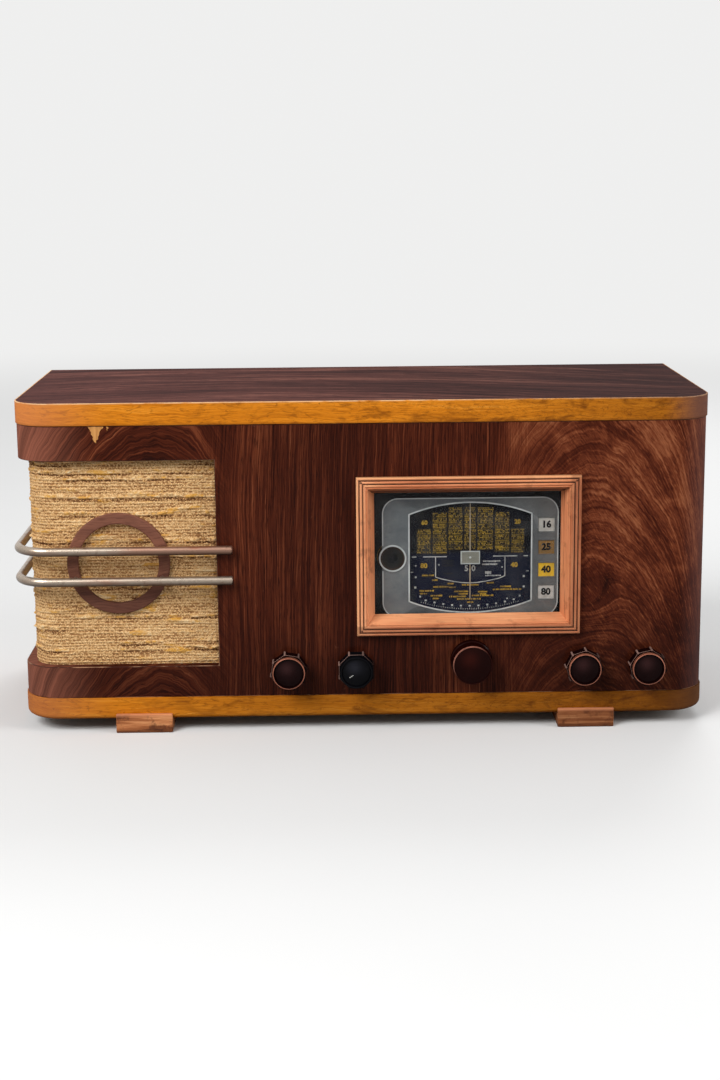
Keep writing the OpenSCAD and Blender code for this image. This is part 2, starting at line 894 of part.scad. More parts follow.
module dial_glass() {
    color(glass)
        along_y(glass_y, mask_y)
            plate_2d(frame_x, frame_z, frame_w - 2 * (frame_rim - glass_lap), frame_h - 2 * (frame_rim - glass_lap));
}

// Opening of the scale: straight sides, with a flat arc above and below
module scale_opening_2d() {
    sag = scale_apex_h - scale_side_h;
    arc_r = (scale_half_w * scale_half_w + sag * sag) / (2 * sag);
    translate([axis_x, axis_z])
        intersection() {
            plate_2d(0, 0, 2 * scale_half_w, 2 * scale_apex_h + 2 * past);
            translate([0, scale_apex_h - arc_r])
                circle(arc_r, $fn = 360);
            translate([0, arc_r - scale_apex_h])
                circle(arc_r, $fn = 360);
        }
}

// Middle height of a band window, counted from the top
function window_z(i) = axis_z - window_drop + (1.5 - i) * window_pitch;

module dial_mask() {
    color(mask_grey)
        along_y(mask_y, mask_back_y)
            difference() {
                soft_plate_2d(axis_x, axis_z, mask_w, mask_h, mask_corner_r);
                scale_opening_2d();
                translate([eye_x, axis_z])
                    circle(eye_hole_r);
                for (i = [0 : 3])
                    plate_2d(window_x, window_z(i), window_w, window_h);
            }
}

module hub_plate() {
    color(mask_grey)
        along_y(mask_y, mask_back_y)
            plate_2d(axis_x, axis_z, 17.5, 12.2);
}

module band_windows() {
    color("khaki")
        along_y(mask_back_y, mask_back_y + window_t)
            for (i = [0 : 3])
                plate_2d(window_x, window_z(i), window_w + 2, window_h + 2);
}

module scale_plate() {
    color(dark_plate)
        along_y(scale_y, support_y)
            difference() {
                plate_2d(axis_x, axis_z, 2 * scale_half_w + 1.2, 2 * scale_apex_h + 6);
                translate([axis_x, axis_z])
                    circle(spindle_r + 1.5);
            }
}

// Distance of the lamps above and below the middle of the windows
lamp_up = window_pitch;

// Folded steel plate behind the scale, on two feet that reach back to the chassis
module dial_support() {
    left = frame_x - frame_w / 2 + frame_rim - glass_lap;
    right = frame_x + frame_w / 2 - frame_rim + glass_lap;
    top = frame_z + frame_h / 2 - frame_rim + glass_lap;
    bottom = tuning_z - 18;
    tab_w = 14;
    color(steel) {
        along_y(support_y, plate_back_y)
            difference() {
                translate([left, bottom])
                    square([right - left, top - bottom]);
                translate([axis_x, axis_z])
                    circle(spindle_r + 2.5);
                translate([axis_x, tuning_z])
                    circle(5);
                translate([eye_x, axis_z])
                    circle(eye_r + 0.4);
                for (s = [-1, 1])
                    translate([window_x, axis_z - window_drop + s * lamp_up])
                        circle(lamp_r + 0.5);
            }
        for (x = [left + 16, right - 30])
            translate([x, plate_back_y, bottom]) {
                cube([tab_w, chassis_y - plate_back_y, support_t]);
                translate([0, chassis_y - plate_back_y - support_t, 0])
                    cube([tab_w, support_t, 20]);
            }
    }
}

// Round glass with a domed face to the front and a pip behind
module magic_eye() {
    edge = 3;
    color([0.25, 0.45, 0.30, 0.6])
        turned(eye_x, mask_back_y + 0.4, axis_z)
            mirror([0, 1]) {
                translate([0, edge])
                    square([eye_r, eye_l - edge]);
                square([eye_r - edge, eye_l]);
                translate([eye_r - edge, edge])
                    intersection() {
                        circle(edge);
                        square([2 * edge, 2 * edge], center = true);
                    }
            }
}

module eye_clamp() {
    clamp_l = 9;
    ear = 6;
    color(brass)
        difference() {
            union() {
                rod_y(eye_x, axis_z, eye_r + 1.4, plate_back_y, plate_back_y + clamp_l);
                along_y(plate_back_y, plate_back_y + 1.2)
                    plate_2d(eye_x, axis_z, 2 * (eye_r + 1.4), 2 * (eye_r + ear));
            }
            bore_y(eye_x, axis_z, eye_r, plate_back_y, plate_back_y + clamp_l);
            for (s = [-1, 1])
                bore_y(eye_x, axis_z + s * (eye_r + ear - 2.6), 1.3, plate_back_y, plate_back_y + 2);
        }
}

module lamp_bulbs() {
    color(glass)
        for (s = [-1, 1])
            translate([window_x, plate_back_y + 1, axis_z - window_drop + s * lamp_up]) {
                sphere(lamp_r);
                rotate([-90, 0, 0])
                    cylinder(r = lamp_r * 0.7, h = 12);
            }
}

// A sleeve with a flange on the dial plate, closed behind the lamp cap
module lamp_holders() {
    sleeve_l = 16;
    color(brass)
        for (s = [-1, 1])
            turned(window_x, plate_back_y, axis_z - window_drop + s * lamp_up)
                mirror([0, 1])
                    polygon([
                        [lamp_r + 0.6, 0], [lamp_r + 3.2, 0], [lamp_r + 3.2, 1], [lamp_r + 1.4, 1],
                        [lamp_r + 1.4, sleeve_l], [0, sleeve_l], [0, 13], [lamp_r + 0.6, 13]
                    ]);
}

// Closed cord: an arc over the drum, an arc under the spool and two tangents between them
drum_rings = 40;
spool_rings = 14;
cord_sides = 8;
cord_lean = asin((cord_drum_r - cord_spool_r) / (axis_z - tuning_z));

// Angle of the cord's outward normal at ring i, and its middle in X and Z
function cord_turn(i) = i <= drum_rings
    ? -cord_lean + (180 + 2 * cord_lean) * i / drum_rings
    : 180 + cord_lean + (180 - 2 * cord_lean) * (i - drum_rings - 1) / spool_rings;
function cord_radius(i) = i <= drum_rings ? cord_drum_r : cord_spool_r;
function cord_middle_z(i) = i <= drum_rings ? axis_z : tuning_z;
function cord_point(i, side) =
    let (a = cord_turn(i), b = 360 * side / cord_sides, r = cord_radius(i) + cord_d / 2 * cos(b))
    [axis_x + r * cos(a), cord_y + cord_d / 2 * sin(b), cord_middle_z(i) + r * sin(a)];

module drive_cord() {
    rings = drum_rings + spool_rings + 2;
    points = [for (i = [0 : rings - 1], side = [0 : cord_sides - 1]) cord_point(i, side)];
    function at(i, side) = (i % rings) * cord_sides + side % cord_sides;
    faces = [
        for (i = [0 : rings - 1], side = [0 : cord_sides - 1], half = [0, 1])
            half == 0
                ? [at(i, side), at(i + 1, side + 1), at(i + 1, side)]
                : [at(i, side), at(i, side + 1), at(i + 1, side + 1)]
    ];
    color("wheat")
        polyhedron(points, faces, convexity = 4);
}

module spindle_bush() {
    sleeve_back = 3;
    color(brass)
        turned(axis_x, support_y, tuning_z)
            polygon([
                [shaft_hole_r, 1.4], [7, 1.4], [7, 0], [5, 0],
                [5, -support_t - sleeve_back], [shaft_hole_r, -support_t - sleeve_back]
            ]);
}

// Grooved rim on a web with four round windows and a long hub
module drive_drum() {
    groove = cord_d / 2 + 0.6;
    hub_r = 8;
    web_t = 1.6;
    window_r = 9;
    window_at = drum_r * 0.56;
    mid = drum_rim / 2;
    color(aluminium)
        difference() {
            turned(axis_x, rim_y, axis_z)
                mirror([0, 1]) {
                    polygon([
                        [drum_r - 3, 0], [drum_r + flange_over, 0], [drum_r + flange_over, mid - groove - 0.6],
                        [drum_r, mid - groove], [drum_r, mid + groove], [drum_r + flange_over, mid + groove + 0.6],
                        [drum_r + flange_over, drum_rim], [drum_r - 3, drum_rim]
                    ]);
                    translate([spindle_r, mid - web_t / 2])
                        square([drum_r - 2 - spindle_r, web_t]);
                    translate([spindle_r, -hub_over])
                        square([hub_r - spindle_r, drum_rim + 2 * hub_over]);
                }
            for (a = [45 : 90 : 315])
                bore_y(axis_x + window_at * cos(a), axis_z + window_at * sin(a), window_r, rim_y, rim_back_y);
        }
}

// Double-ended needle with a round boss on the capacitor shaft
module pointer() {
    needle_y = mask_back_y + 2.2;
    needle_w = 1.3;
    color([0.9, 0.9, 0.88])
        difference() {
            union() {
                along_y(needle_y, needle_y + 0.6)
                    translate([axis_x, axis_z])
                        polygon([
                            [-needle_w / 2, 0], [-needle_w / 4, pointer_r], [needle_w / 4, pointer_r],
                            [needle_w / 2, 0], [needle_w / 4, -pointer_tail_r], [-needle_w / 4, -pointer_tail_r]
                        ]);
                rod_y(axis_x, axis_z, spindle_r + 0.8, needle_y - 0.6, needle_y + 2);
            }
            rod_y(axis_x, axis_z, spindle_r, needle_y, needle_y + 2 + past);
        }
}

// Front of a gang, and front of one of its vanes
function gang_y(gang) = cap_y + plate_t + gang * (gang_l + plate_t);
function vane_y(gang, i) =
    gang_y(gang) + (gang_l - (vane_count - 1) * vane_pitch - vane_t) / 2 + i * vane_pitch;

// Shaft with two gangs of half-round vanes, half in mesh at rest
module capacitor_rotor() {
    collar_r = spindle_r + 2;
    color(aluminium) {
        rod_y(axis_x, axis_z, spindle_r, mask_back_y + 2.2, cap_back_y + 4);
        for (gang = [0, 1], i = [0 : vane_count - 1])
            along_y(vane_y(gang, i), vane_y(gang, i) + vane_t)
                translate([axis_x, axis_z])
                    difference() {
                        circle(vane_r);
                        translate([-vane_r - past, 0])
                            square([2 * vane_r + 2 * past, vane_r + past]);
                        circle(spindle_r);
                    }
        for (gang = [0, 1])
            difference() {
                rod_y(axis_x, axis_z, collar_r, vane_y(gang, 0) - 1.5, vane_y(gang, vane_count - 1) + vane_t + 1.5);
                rod_y(axis_x, axis_z, spindle_r, cap_y, cap_back_y);
                for (i = [0 : vane_count - 1])
                    along_y(vane_y(gang, i), vane_y(gang, i) + vane_t)
                        plate_2d(axis_x, axis_z - vane_r, 2 * vane_r, 2 * vane_r);
            }
    }
}

// Fixed vanes between the moving ones, on two rails with ceramic bushes
module capacitor_stators() {
    slot_r = spindle_r + 3.4;
    color(aluminium)
        for (gang = [0, 1]) {
            y0 = gang_y(gang);
            difference() {
                for (i = [0 : vane_count])
                    along_y(vane_y(gang, i) - vane_pitch / 2, vane_y(gang, i) - vane_pitch / 2 + vane_t)
                        translate([axis_x, axis_z])
                            difference() {
                                circle(rail_at + rail_r + 1);
                                translate([-2 * vane_r, -2 * vane_r])
                                    square([2 * vane_r + 1.5, 4 * vane_r]);
                                circle(slot_r);
                            }
                for (a = [-38, 38])
                    rod_y(axis_x + rail_at * cos(a), axis_z + rail_at * sin(a), rail_r, y0, y0 + gang_l);
            }
            for (a = [-38, 38]) {
                rod_y(axis_x + rail_at * cos(a), axis_z + rail_at * sin(a), rail_r, y0 + 1.5, y0 + gang_l - 1.5);
                for (end = [y0, y0 + gang_l - 1.5])
                    rod_y(axis_x + rail_at * cos(a), axis_z + rail_at * sin(a), rail_r + 1.2, end, end + 1.5);
            }
        }
}

// Floor, three plates and two bent legs down to the chassis
module capacitor_frame() {
    leg_t = 1.5;
    foot_l = 9;
    plate_top = 12;
    color(steel) {
        difference() {
            union() {
                translate([axis_x - cap_half_w, cap_y, cap_floor_z])
                    cube([2 * cap_half_w, cap_back_y - cap_y, plate_t]);
                for (i = [0 : 2])
                    translate([0, cap_y + i * (gang_l + plate_t), 0])
                        along_y(0, plate_t) {
                            translate([axis_x - cap_half_w, cap_floor_z])
                                square([2 * cap_half_w, axis_z - cap_floor_z]);
                            translate([axis_x - cap_half_w * 0.6, axis_z - past])
                                square([cap_half_w * 1.6, plate_top + past]);
                            translate([axis_x - cap_half_w, axis_z - past])
                                square([cap_half_w, past + 2]);
                            translate([axis_x, axis_z + plate_top])
                                circle(plate_top * 0.8);
                            for (s = [-1, 1])
                                translate([axis_x + rail_at * cos(38), axis_z + s * rail_at * sin(38)])
                                    circle(rail_r + 3);
                        }
            }
            bore_y(axis_x, axis_z, shaft_hole_r, cap_y, cap_back_y);
            rod_y(axis_x, axis_z, spindle_r + 2.5, cap_y + plate_t + 1, cap_back_y - plate_t - 1);
        }
        for (side = [-1, 1])
            for (y = [cap_y + 4, cap_back_y - 18])
                translate([axis_x + side * (cap_half_w - leg_t / 2) - leg_t / 2, y, deck_z]) {
                    cube([leg_t, 14, cap_floor_z - deck_z]);
                    difference() {
                        translate([side > 0 ? 0 : leg_t - foot_l, 0, 0])
                            cube([foot_l, 14, leg_t]);
                        translate([side > 0 ? foot_l - 4 : leg_t - foot_l + 4, 7, -past])
                            cylinder(r = 1.6, h = leg_t + 2 * past);
                    }
                }
    }
}

// A small control's spindle, from its knob back to y1
module spindle(x, y1) {
    color(steel)
        rod_y(x, knob_z, spindle_r, front_y - knob_reach + 4, y1);
}

// Small knob: domed face in a rim ring on an eight-sided body with corner ribs
module small_knob(x, setting, tone) {
    back = knob_gap;
    body_front = knob_reach - 5;
    groove_front = knob_reach - 4;
    neck_r = knob_body_r - 6;
    inner_r = knob_rim_r - knob_rim_w;
    rib_r = 0.9;
    soft = 0.7;
    rise = 1.6;
    dome_r = (inner_r * inner_r + rise * rise) / (2 * rise);
    color(tone)
        difference() {
            union() {
                turned(x, front_y, knob_z) {
                    translate([0, back])
                        square([neck_r, 5]);
                    translate([0, back + 4])
                        square([knob_rim_r - 1, groove_front - back - 4 + 0.5]);
                    translate([0, groove_front])
                        square([knob_rim_r, knob_reach - groove_front - soft]);
                    translate([inner_r, groove_front])
                        square([knob_rim_w - soft, knob_reach - groove_front]);
                    translate([knob_rim_r - soft, knob_reach - soft])
                        circle(soft);
                }
                along_y(front_y - body_front, front_y - back - 3)
                    translate([x, knob_z])
                        rotate(setting) {
                            circle(knob_body_r - rib_r / 2, $fn = 8);
                            for (i = [0 : 7])
                                rotate(45 * i)
                                    translate([knob_body_r - rib_r, 0])
                                        circle(rib_r);
                        }
            }
            turned(x, front_y, knob_z)
                translate([0, knob_reach - 2])
                    square([inner_r, 2 + past]);
            rod_y(x, knob_z, spindle_r, front_y - knob_reach + 4, front_y + past);
        }
    color(tone)
        turned(x, front_y - knob_reach + 2, knob_z)
            intersection() {
                translate([0, rise - dome_r])
                    circle(dome_r, $fn = 360);
                square([inner_r, 2 * rise]);
            }
}

// Tuning knob: slightly domed face with a fine edge on a stepped skirt
module tuning_knob() {
    back = knob_gap;
    step = 7;
    edge = 1;
    dome_r = 120;
    color(bakelite)
        difference() {
            turned(axis_x, front_y, tuning_z)
                difference() {
                    union() {
                        translate([0, back])
                            square([tuning_skirt_r, step - back]);
                        translate([0, step - past])
                            square([tuning_knob_r, tuning_reach - edge - step + past]);
                        translate([0, step])
                            square([tuning_knob_r - edge, tuning_reach - step]);
                        translate([tuning_knob_r - edge, tuning_reach - edge])
                            circle(edge);
                    }
                    translate([0, tuning_reach + dome_r - 1])
                        intersection() {
                            circle(dome_r, $fn = 720);
                            translate([0, -dome_r])
                                square([tuning_knob_r - 2, dome_r]);
                        }
                }
            rod_y(axis_x, tuning_z, spindle_r, front_y - tuning_reach + 5, front_y + past);
        }
}

module tuning_spindle() {
    lip_r = spool_r + 2.6;
    groove = cord_d / 2 + 0.7;
    mid = drum_rim / 2;
    color(steel) {
        rod_y(axis_x, tuning_z, spindle_r, front_y - tuning_reach + 5, chassis_y + sheet_t + 4);
        turned(axis_x, rim_y, tuning_z)
            mirror([0, 1])
                polygon([
                    [spindle_r, 0], [lip_r, 0], [lip_r, mid - groove], [spool_r, mid - groove],
                    [spool_r, mid + groove], [lip_r, mid + groove], [lip_r, drum_rim], [spindle_r, drum_rim]
                ]);
    }
}

// The small knobs, each at the angle at which it stands in the photograph
module volume_knob() {
    small_knob(volume_x, 12.4, bakelite);
}

module tone_knob() {
    small_knob(tone_x, 23, black);
}

module band_knob() {
    small_knob(band_x, -4, bakelite);
}

module selectivity_knob() {
    small_knob(selectivity_x, -10, bakelite);
}

module volume_spindle() {
    spindle(volume_x, control_y + spindle_in);
}

module tone_spindle() {
    spindle(tone_x, control_y + spindle_in);
}

module selectivity_spindle() {
    spindle(selectivity_x, control_y + spindle_in);
}

// The band spindle carries the two turning discs of the wafer switch
wafer_y = [control_y + 16, control_y + 34];
wafer_t = 1.6;
wafer_disc_r = 8;
wafer_gap = 0.4;

module band_spindle() {
    spindle(band_x, wafer_y[1] + wafer_t + 4);
    color(bakelite)
        for (y = wafer_y)
            difference() {
                rod_y(band_x, knob_z, wafer_disc_r, y, y + wafer_t);
                bore_y(band_x, knob_z, spindle_r, y, y + wafer_t);
            }
}

// Threaded bush and nut through the front of the chassis
module control_bush(x) {
    difference() {
        union() {
            rod_y(x, knob_z, bush_r, chassis_y - 6, control_y);
            translate([x, chassis_y, knob_z])
                rotate([90, 0, 0])
                    linear_extrude(2.4)
                        circle(7.5, $fn = 6);
        }
        bore_y(x, knob_z, shaft_hole_r, chassis_y - 6, control_y);
    }
}

// Three round bodies with solder tags; the volume control has a switch behind
module potentiometers() {
    body_r = 12.5;
    body_l = 13;
    color(steel)
        for (x = [volume_x, tone_x, selectivity_x]) {
            control_bush(x);
            difference() {
                union() {
                    rod_y(x, knob_z, body_r, control_y, control_y + body_l);
                    if (x == volume_x)
                        rod_y(x, knob_z, body_r - 2, control_y + body_l, control_y + body_l + 8);
                    for (s = [-1, 0, 1])
                        translate([x + s * 6 - 1.25, control_y + 3, knob_z - body_r - 5])
                            cube([2.5, 0.8, 12]);
                }
                bore_y(x, knob_z, shaft_hole_r, control_y, control_y + spindle_in - 0.5);
            }
        }
}

// Front plate, two wafers on two tie rods, each with a hole for its turning disc
module band_switch() {
    wafer_r = 17;
    rod_at = 13.5;
    color(bakelite) {
        control_bush(band_x);
        difference() {
            rod_y(band_x, knob_z, wafer_r, control_y, control_y + 1.5);
            bore_y(band_x, knob_z, shaft_hole_r, control_y, control_y + 1.5);
        }
        for (y = wafer_y)
            difference() {
                rod_y(band_x, knob_z, wafer_r, y, y + wafer_t);
                bore_y(band_x, knob_z, wafer_disc_r + wafer_gap, y, y + wafer_t);
                for (s = [-1, 1])
                    bore_y(band_x + s * rod_at, knob_z, 1.5, y, y + wafer_t);
            }
    }
    color(brass)
        for (s = [-1, 1])
            rod_y(band_x + s * rod_at, knob_z, 1.5, control_y + 1.5, wafer_y[1] + wafer_t + 2);
}

// Chassis bolts stand in the four corners
bolt_r = 2;
bolt_in = 12;

function corners(in) = [
    for (x = [pan_left + in, pan_right - in], y = [chassis_y + in, pan_back_y - in]) [x, y]
];
function bolt_places() = corners(bolt_in);

// Places of the rear sockets: aerial and earth, gramophone, second loudspeaker
plug_gap = 19;
pair_in = [40, 150, 235];
pair_x = [for (d = pair_in) pan_left + d];
plug_z = floor_z + chassis_h / 2;
grommet_in = 34;
grommet_x = pan_right - grommet_in;
grommet_wall_r = grommet_r + 3;

// Bent steel pan, open below, with lugs for its bolts and holes for all that it carries
module chassis() {
    lug = 20;
    depth = pan_back_y - chassis_y;
    color(steel)
        difference() {
            union() {
                difference() {
                    translate([pan_left, chassis_y, floor_z])
                        cube([chassis_l, depth, chassis_h]);
                    translate([pan_left + sheet_t, chassis_y + sheet_t, floor_z - past])
                        cube([chassis_l - 2 * sheet_t, depth - 2 * sheet_t, chassis_h - sheet_t + past]);
                }
                for (p = corners(lug / 2 + sheet_t / 2))
                    translate([p[0] - lug / 2, p[1] - lug / 2, floor_z])
                        cube([lug, lug, sheet_t]);
            }
            for (p = bolt_places())
                translate([p[0], p[1], floor_z - past])
                    cylinder(r = bolt_r, h = sheet_t + 2 * past);
            for (x = small_controls())
                bore_y(x, knob_z, bush_r, chassis_y, chassis_y + sheet_t);
            bore_y(axis_x, tuning_z, shaft_hole_r, chassis_y, chassis_y + sheet_t);
            for (p = valve_places)
                translate([p[0], p[1], deck_z - sheet_t - past])
                    cylinder(r = base_r - 3, h = sheet_t + 2 * past);
            for (x = pair_x, s = [-1, 1])
                bore_y(x + s * plug_gap / 2, plug_z, socket_r + 1.4, pan_back_y - sheet_t, pan_back_y);
            bore_y(grommet_x, plug_z, grommet_wall_r, pan_back_y - sheet_t, pan_back_y);
        }
}

// Bolts from below the bottom board up into the chassis lugs, each with a nut
module chassis_bolts() {
    head_h = 2.5;
    nut_h = 3;
    color(steel)
        for (p = bolt_places())
            translate([p[0], p[1], 0]) {
                translate([0, 0, foot_h])
                    cylinder(r = bolt_r, h = board_t + sheet_t + nut_h + 2);
                translate([0, 0, foot_h - head_h])
                    cylinder(r = 4.5, h = head_h);
                translate([0, 0, floor_z + sheet_t])
                    linear_extrude(nut_h)
                        circle(4.2, $fn = 6);
            }
}

// Mains transformer on the right, behind the smoothing capacitors
module power_transformer() {
    core_d = 36;
    coil_over = 11;
    from_right = 11;
    laminated(pan_right - transformer_w / 2 - from_right, row_y, deck_z,
              transformer_w, core_d, transformer_h, coil_over);
}

// Rubber ring in the rear wall of the chassis
module mains_grommet() {
    lip = 2.2;
    color(black)
        turned(grommet_x, pan_back_y, plug_z)
            polygon([
                [grommet_r, -2.4], [grommet_wall_r + lip, -2], [grommet_wall_r + lip, 0],
                [grommet_wall_r, 0], [grommet_wall_r, sheet_t], [grommet_wall_r + lip, sheet_t],
                [grommet_wall_r + lip, sheet_t + 2], [grommet_r, sheet_t + 2.4]
            ]);
}

// Insulating strips with brass tubes, on the rear wall of the chassis
module rear_sockets() {
    strip_t = 2;
    ferrule_r = socket_r + 1.2;
    for (x = pair_x)
        difference() {
            union() {
                color(bakelite)
                    along_y(pan_back_y, pan_back_y + strip_t)
                        plate_2d(x, plug_z, plug_gap + 18, 16);
                color(brass)
                    for (s = [-1, 1])
                        rod_y(x + s * plug_gap / 2, plug_z, ferrule_r,
                              pan_back_y + strip_t + 0.6 - socket_l, pan_back_y + strip_t + 0.6);
            }
            for (s = [-1, 1])
                rod_y(x + s * plug_gap / 2, plug_z, socket_r, pan_back_y - socket_l, pan_back_y + strip_t + past);
        }
}

// Square coil cans with round corners and a trimmer screw on top
module if_cans() {
    color(aluminium)
        for (p = can_places)
            translate([p[0], p[1], deck_z])
                difference() {
                    union() {
                        linear_extrude(can_h)
                            soft_plate_2d(0, 0, can_w, can_w, 4);
                        translate([0, 0, can_h])
                            cylinder(r = 5, h = 1.2);
                    }
                    translate([0, 0, can_h - 4])
                        cylinder(r = 2.5, h = 6);
                }
}

// Two cans with a rolled edge, each in a clamp ring on the chassis
module filter_cans() {
    filter_gap = 2 * filter_r + 8;
    from_right = 34;
    from_front = 50;
    clamp_h = 9;
    color(aluminium)
        for (i = [0, 1])
            translate([pan_right - from_right - i * filter_gap, chassis_y + from_front, deck_z])
                rotate_extrude()
                    polygon([
                        [0, 0], [filter_r + 3, 0], [filter_r + 3, 2], [filter_r + 1, 2],
                        [filter_r + 1, clamp_h], [filter_r, clamp_h],
                        [filter_r, filter_h - 2], [filter_r - 2, filter_h], [filter_r - 3, filter_h],
                        [filter_r - 3, filter_h - 1.5], [0, filter_h - 1.5]
                    ]);
}

module valve_sockets() {
    color(bakelite)
        for (p = valve_places)
            translate([p[0], p[1], deck_z])
                rotate_extrude()
                    polygon([
                        [0, -4], [base_r - 3, -4], [base_r - 3, 0], [base_r + 3, 0], [base_r + 3, 1.5],
                        [base_r, socket_t], [0, socket_t]
                    ]);
}

// Moulded bases of the valves, and of the tuning eye behind its glass
module valve_bases() {
    color(black) {
        for (p = valve_places)
            translate([p[0], p[1], deck_z + socket_t])
                rotate_extrude()
                    polygon([[0, 0], [base_r - 1, 0], [base_r, 2], [base_r, base_h], [0, base_h]]);
        rod_y(eye_x, axis_z, eye_r + 0.5, mask_back_y + 0.4 + eye_l, mask_back_y + 0.4 + eye_l + base_h);
    }
}

// Shouldered glass bulbs: narrow neck, wide belly and a small dome
module valve_bulbs() {
    foot_r = base_r - 1.5;
    dome_r = bulb_r * 0.62;
    color(glass)
        for (p = valve_places)
            translate([p[0], p[1], deck_z + socket_t + base_h])
                rotate_extrude() {
                    polygon([
                        [0, 0], [foot_r, 0], [foot_r, bulb_h * 0.12], [bulb_r, bulb_h * 0.42], [bulb_r, bulb_h * 0.56],
                        [dome_r, bulb_h * 0.74], [dome_r, bulb_h - dome_r], [0, bulb_h - dome_r]
                    ]);
                    translate([0, bulb_h - dome_r])
                        intersection() {
                            circle(dome_r);
                            square([dome_r, dome_r]);
                        }
                }
}

// Hardboard cover with vent slots and a notch for the rear of the chassis
module rear_cover() {
    fit = 0.5;
    y1 = rear_y - cover_in;
    notch_l = pan_left - 5;
    notch_r = pan_right + 5;
    slot_pitch = 3 * slot_w;
    slot_z = deck_z + 46;
    slots = floor((notch_r - notch_l - 60) / slot_pitch);
    color(hardboard)
        along_y(y1 - cover_t, y1)
            difference() {
                translate([-inner_half_w + fit, floor_z + fit])
                    square([2 * (inner_half_w - fit), ceiling_z - floor_z - 2 * fit]);
                translate([notch_l, floor_z - past])
                    square([notch_r - notch_l, chassis_h + past + 3]);
                for (i = [0 : slots - 1])
                    for (row = [0, 1])
                        soft_plate_2d(notch_l + 30 + (i + 0.5) * slot_pitch, slot_z + row * (slot_h + 14),
                                      slot_w, slot_h, slot_w / 2 - 0.01);
                for (a = [0 : 60 : 300])
                    translate([speaker_x + speaker_vent_at * cos(a), grille_z + speaker_vent_at * sin(a)])
                        circle(speaker_vent_r);
            }
}

// Round-headed screws through the cover into the battens
module cover_screws() {
    head_r = 4;
    head_h = 2;
    y1 = rear_y - cover_in;
    side_x = inner_half_w - batten_w / 2;
    top_z = ceiling_z - batten_w / 2;
    places = [
        for (s = [-1, 1], z = [floor_z + 30, grille_z, top_z]) [s * side_x, z],
        for (x = [-100, 100]) [x, top_z]
    ];
    color(steel)
        for (p = places)
            turned(p[0], y1, p[1])
                mirror([0, 1])
                    intersection() {
                        translate([0, -head_r * 1.25 + head_h])
                            circle(head_r * 1.25, $fn = 64);
                        square([head_r, head_h]);
                    }
}

front_panel();
top_board();
top_band();
bottom_board();
bottom_band();
rear_battens();
feet();
baffle_board();
grille_cloth();
grille_ring();
upper_bar();
lower_bar();
bar_posts();
speaker_frame();
speaker_surround();
speaker_cone();
speaker_magnet();
output_transformer();
dial_frame();
dial_glass();
dial_mask();
hub_plate();
band_windows();
scale_plate();
dial_support();
magic_eye();
eye_clamp();
lamp_bulbs();
lamp_holders();
drive_cord();
spindle_bush();
drive_drum();
pointer();
capacitor_rotor();
capacitor_stators();
capacitor_frame();
tuning_knob();
tuning_spindle();
volume_knob();
volume_spindle();
tone_knob();
tone_spindle();
band_knob();
band_spindle();
selectivity_knob();
selectivity_spindle();
potentiometers();
band_switch();
chassis();
chassis_bolts();
power_transformer();
mains_grommet();
rear_sockets();
if_cans();
filter_cans();
valve_sockets();
valve_bases();
valve_bulbs();
rear_cover();
cover_screws();
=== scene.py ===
import math
import random

import bmesh
import bpy
from bmesh.types import BMEdge, BMVert
from bpy.props import FloatProperty, FloatVectorProperty, IntProperty, PointerProperty
from mathutils import Matrix, Vector, noise


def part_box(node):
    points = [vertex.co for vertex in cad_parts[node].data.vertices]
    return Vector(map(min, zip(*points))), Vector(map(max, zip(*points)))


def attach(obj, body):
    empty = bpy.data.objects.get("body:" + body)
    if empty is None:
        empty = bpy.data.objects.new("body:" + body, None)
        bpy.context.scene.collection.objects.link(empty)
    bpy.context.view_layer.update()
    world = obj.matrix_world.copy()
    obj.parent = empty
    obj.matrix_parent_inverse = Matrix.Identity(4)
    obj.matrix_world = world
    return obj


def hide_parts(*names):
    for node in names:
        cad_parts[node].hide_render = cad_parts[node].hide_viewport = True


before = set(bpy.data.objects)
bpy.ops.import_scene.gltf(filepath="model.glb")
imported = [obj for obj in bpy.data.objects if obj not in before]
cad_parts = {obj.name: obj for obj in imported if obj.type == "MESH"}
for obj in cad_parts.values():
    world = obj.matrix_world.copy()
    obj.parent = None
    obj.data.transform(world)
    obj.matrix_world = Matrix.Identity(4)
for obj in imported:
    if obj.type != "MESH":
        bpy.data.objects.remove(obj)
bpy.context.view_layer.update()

bl_info = {
    "name": "Table radio finishing",
    "version": (1, 0, 0),
    "blender": (4, 5, 0),
    "location": "3D View > Sidebar > Radio",
    "description": "Veneers, cloth, dial and knobs of a table radio, made round its packed frame",
    "category": "Object",
}

MM = 0.001
QUARTER = math.pi / 2
# Distances within which points of a mesh are joined, in pieces and in printed marks
WELD, PRINT_WELD = 0.000005, 1e-7


def middle_of(node):
    """Centre of a frame node's box, as X, Y and Z."""
    return tuple((low + high) / 2 for low, high in zip(*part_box(node)))


# The cabinet, read from the frame
LEFT, FRONT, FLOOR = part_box("front_panel")[0]
RIGHT, REAR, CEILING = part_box("front_panel")[1]
FOOT_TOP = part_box("bottom_board")[0].z
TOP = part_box("top_board")[1].z
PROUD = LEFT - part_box("bottom_band")[0].x
CORNER = 34 * MM
WALL = 10 * MM

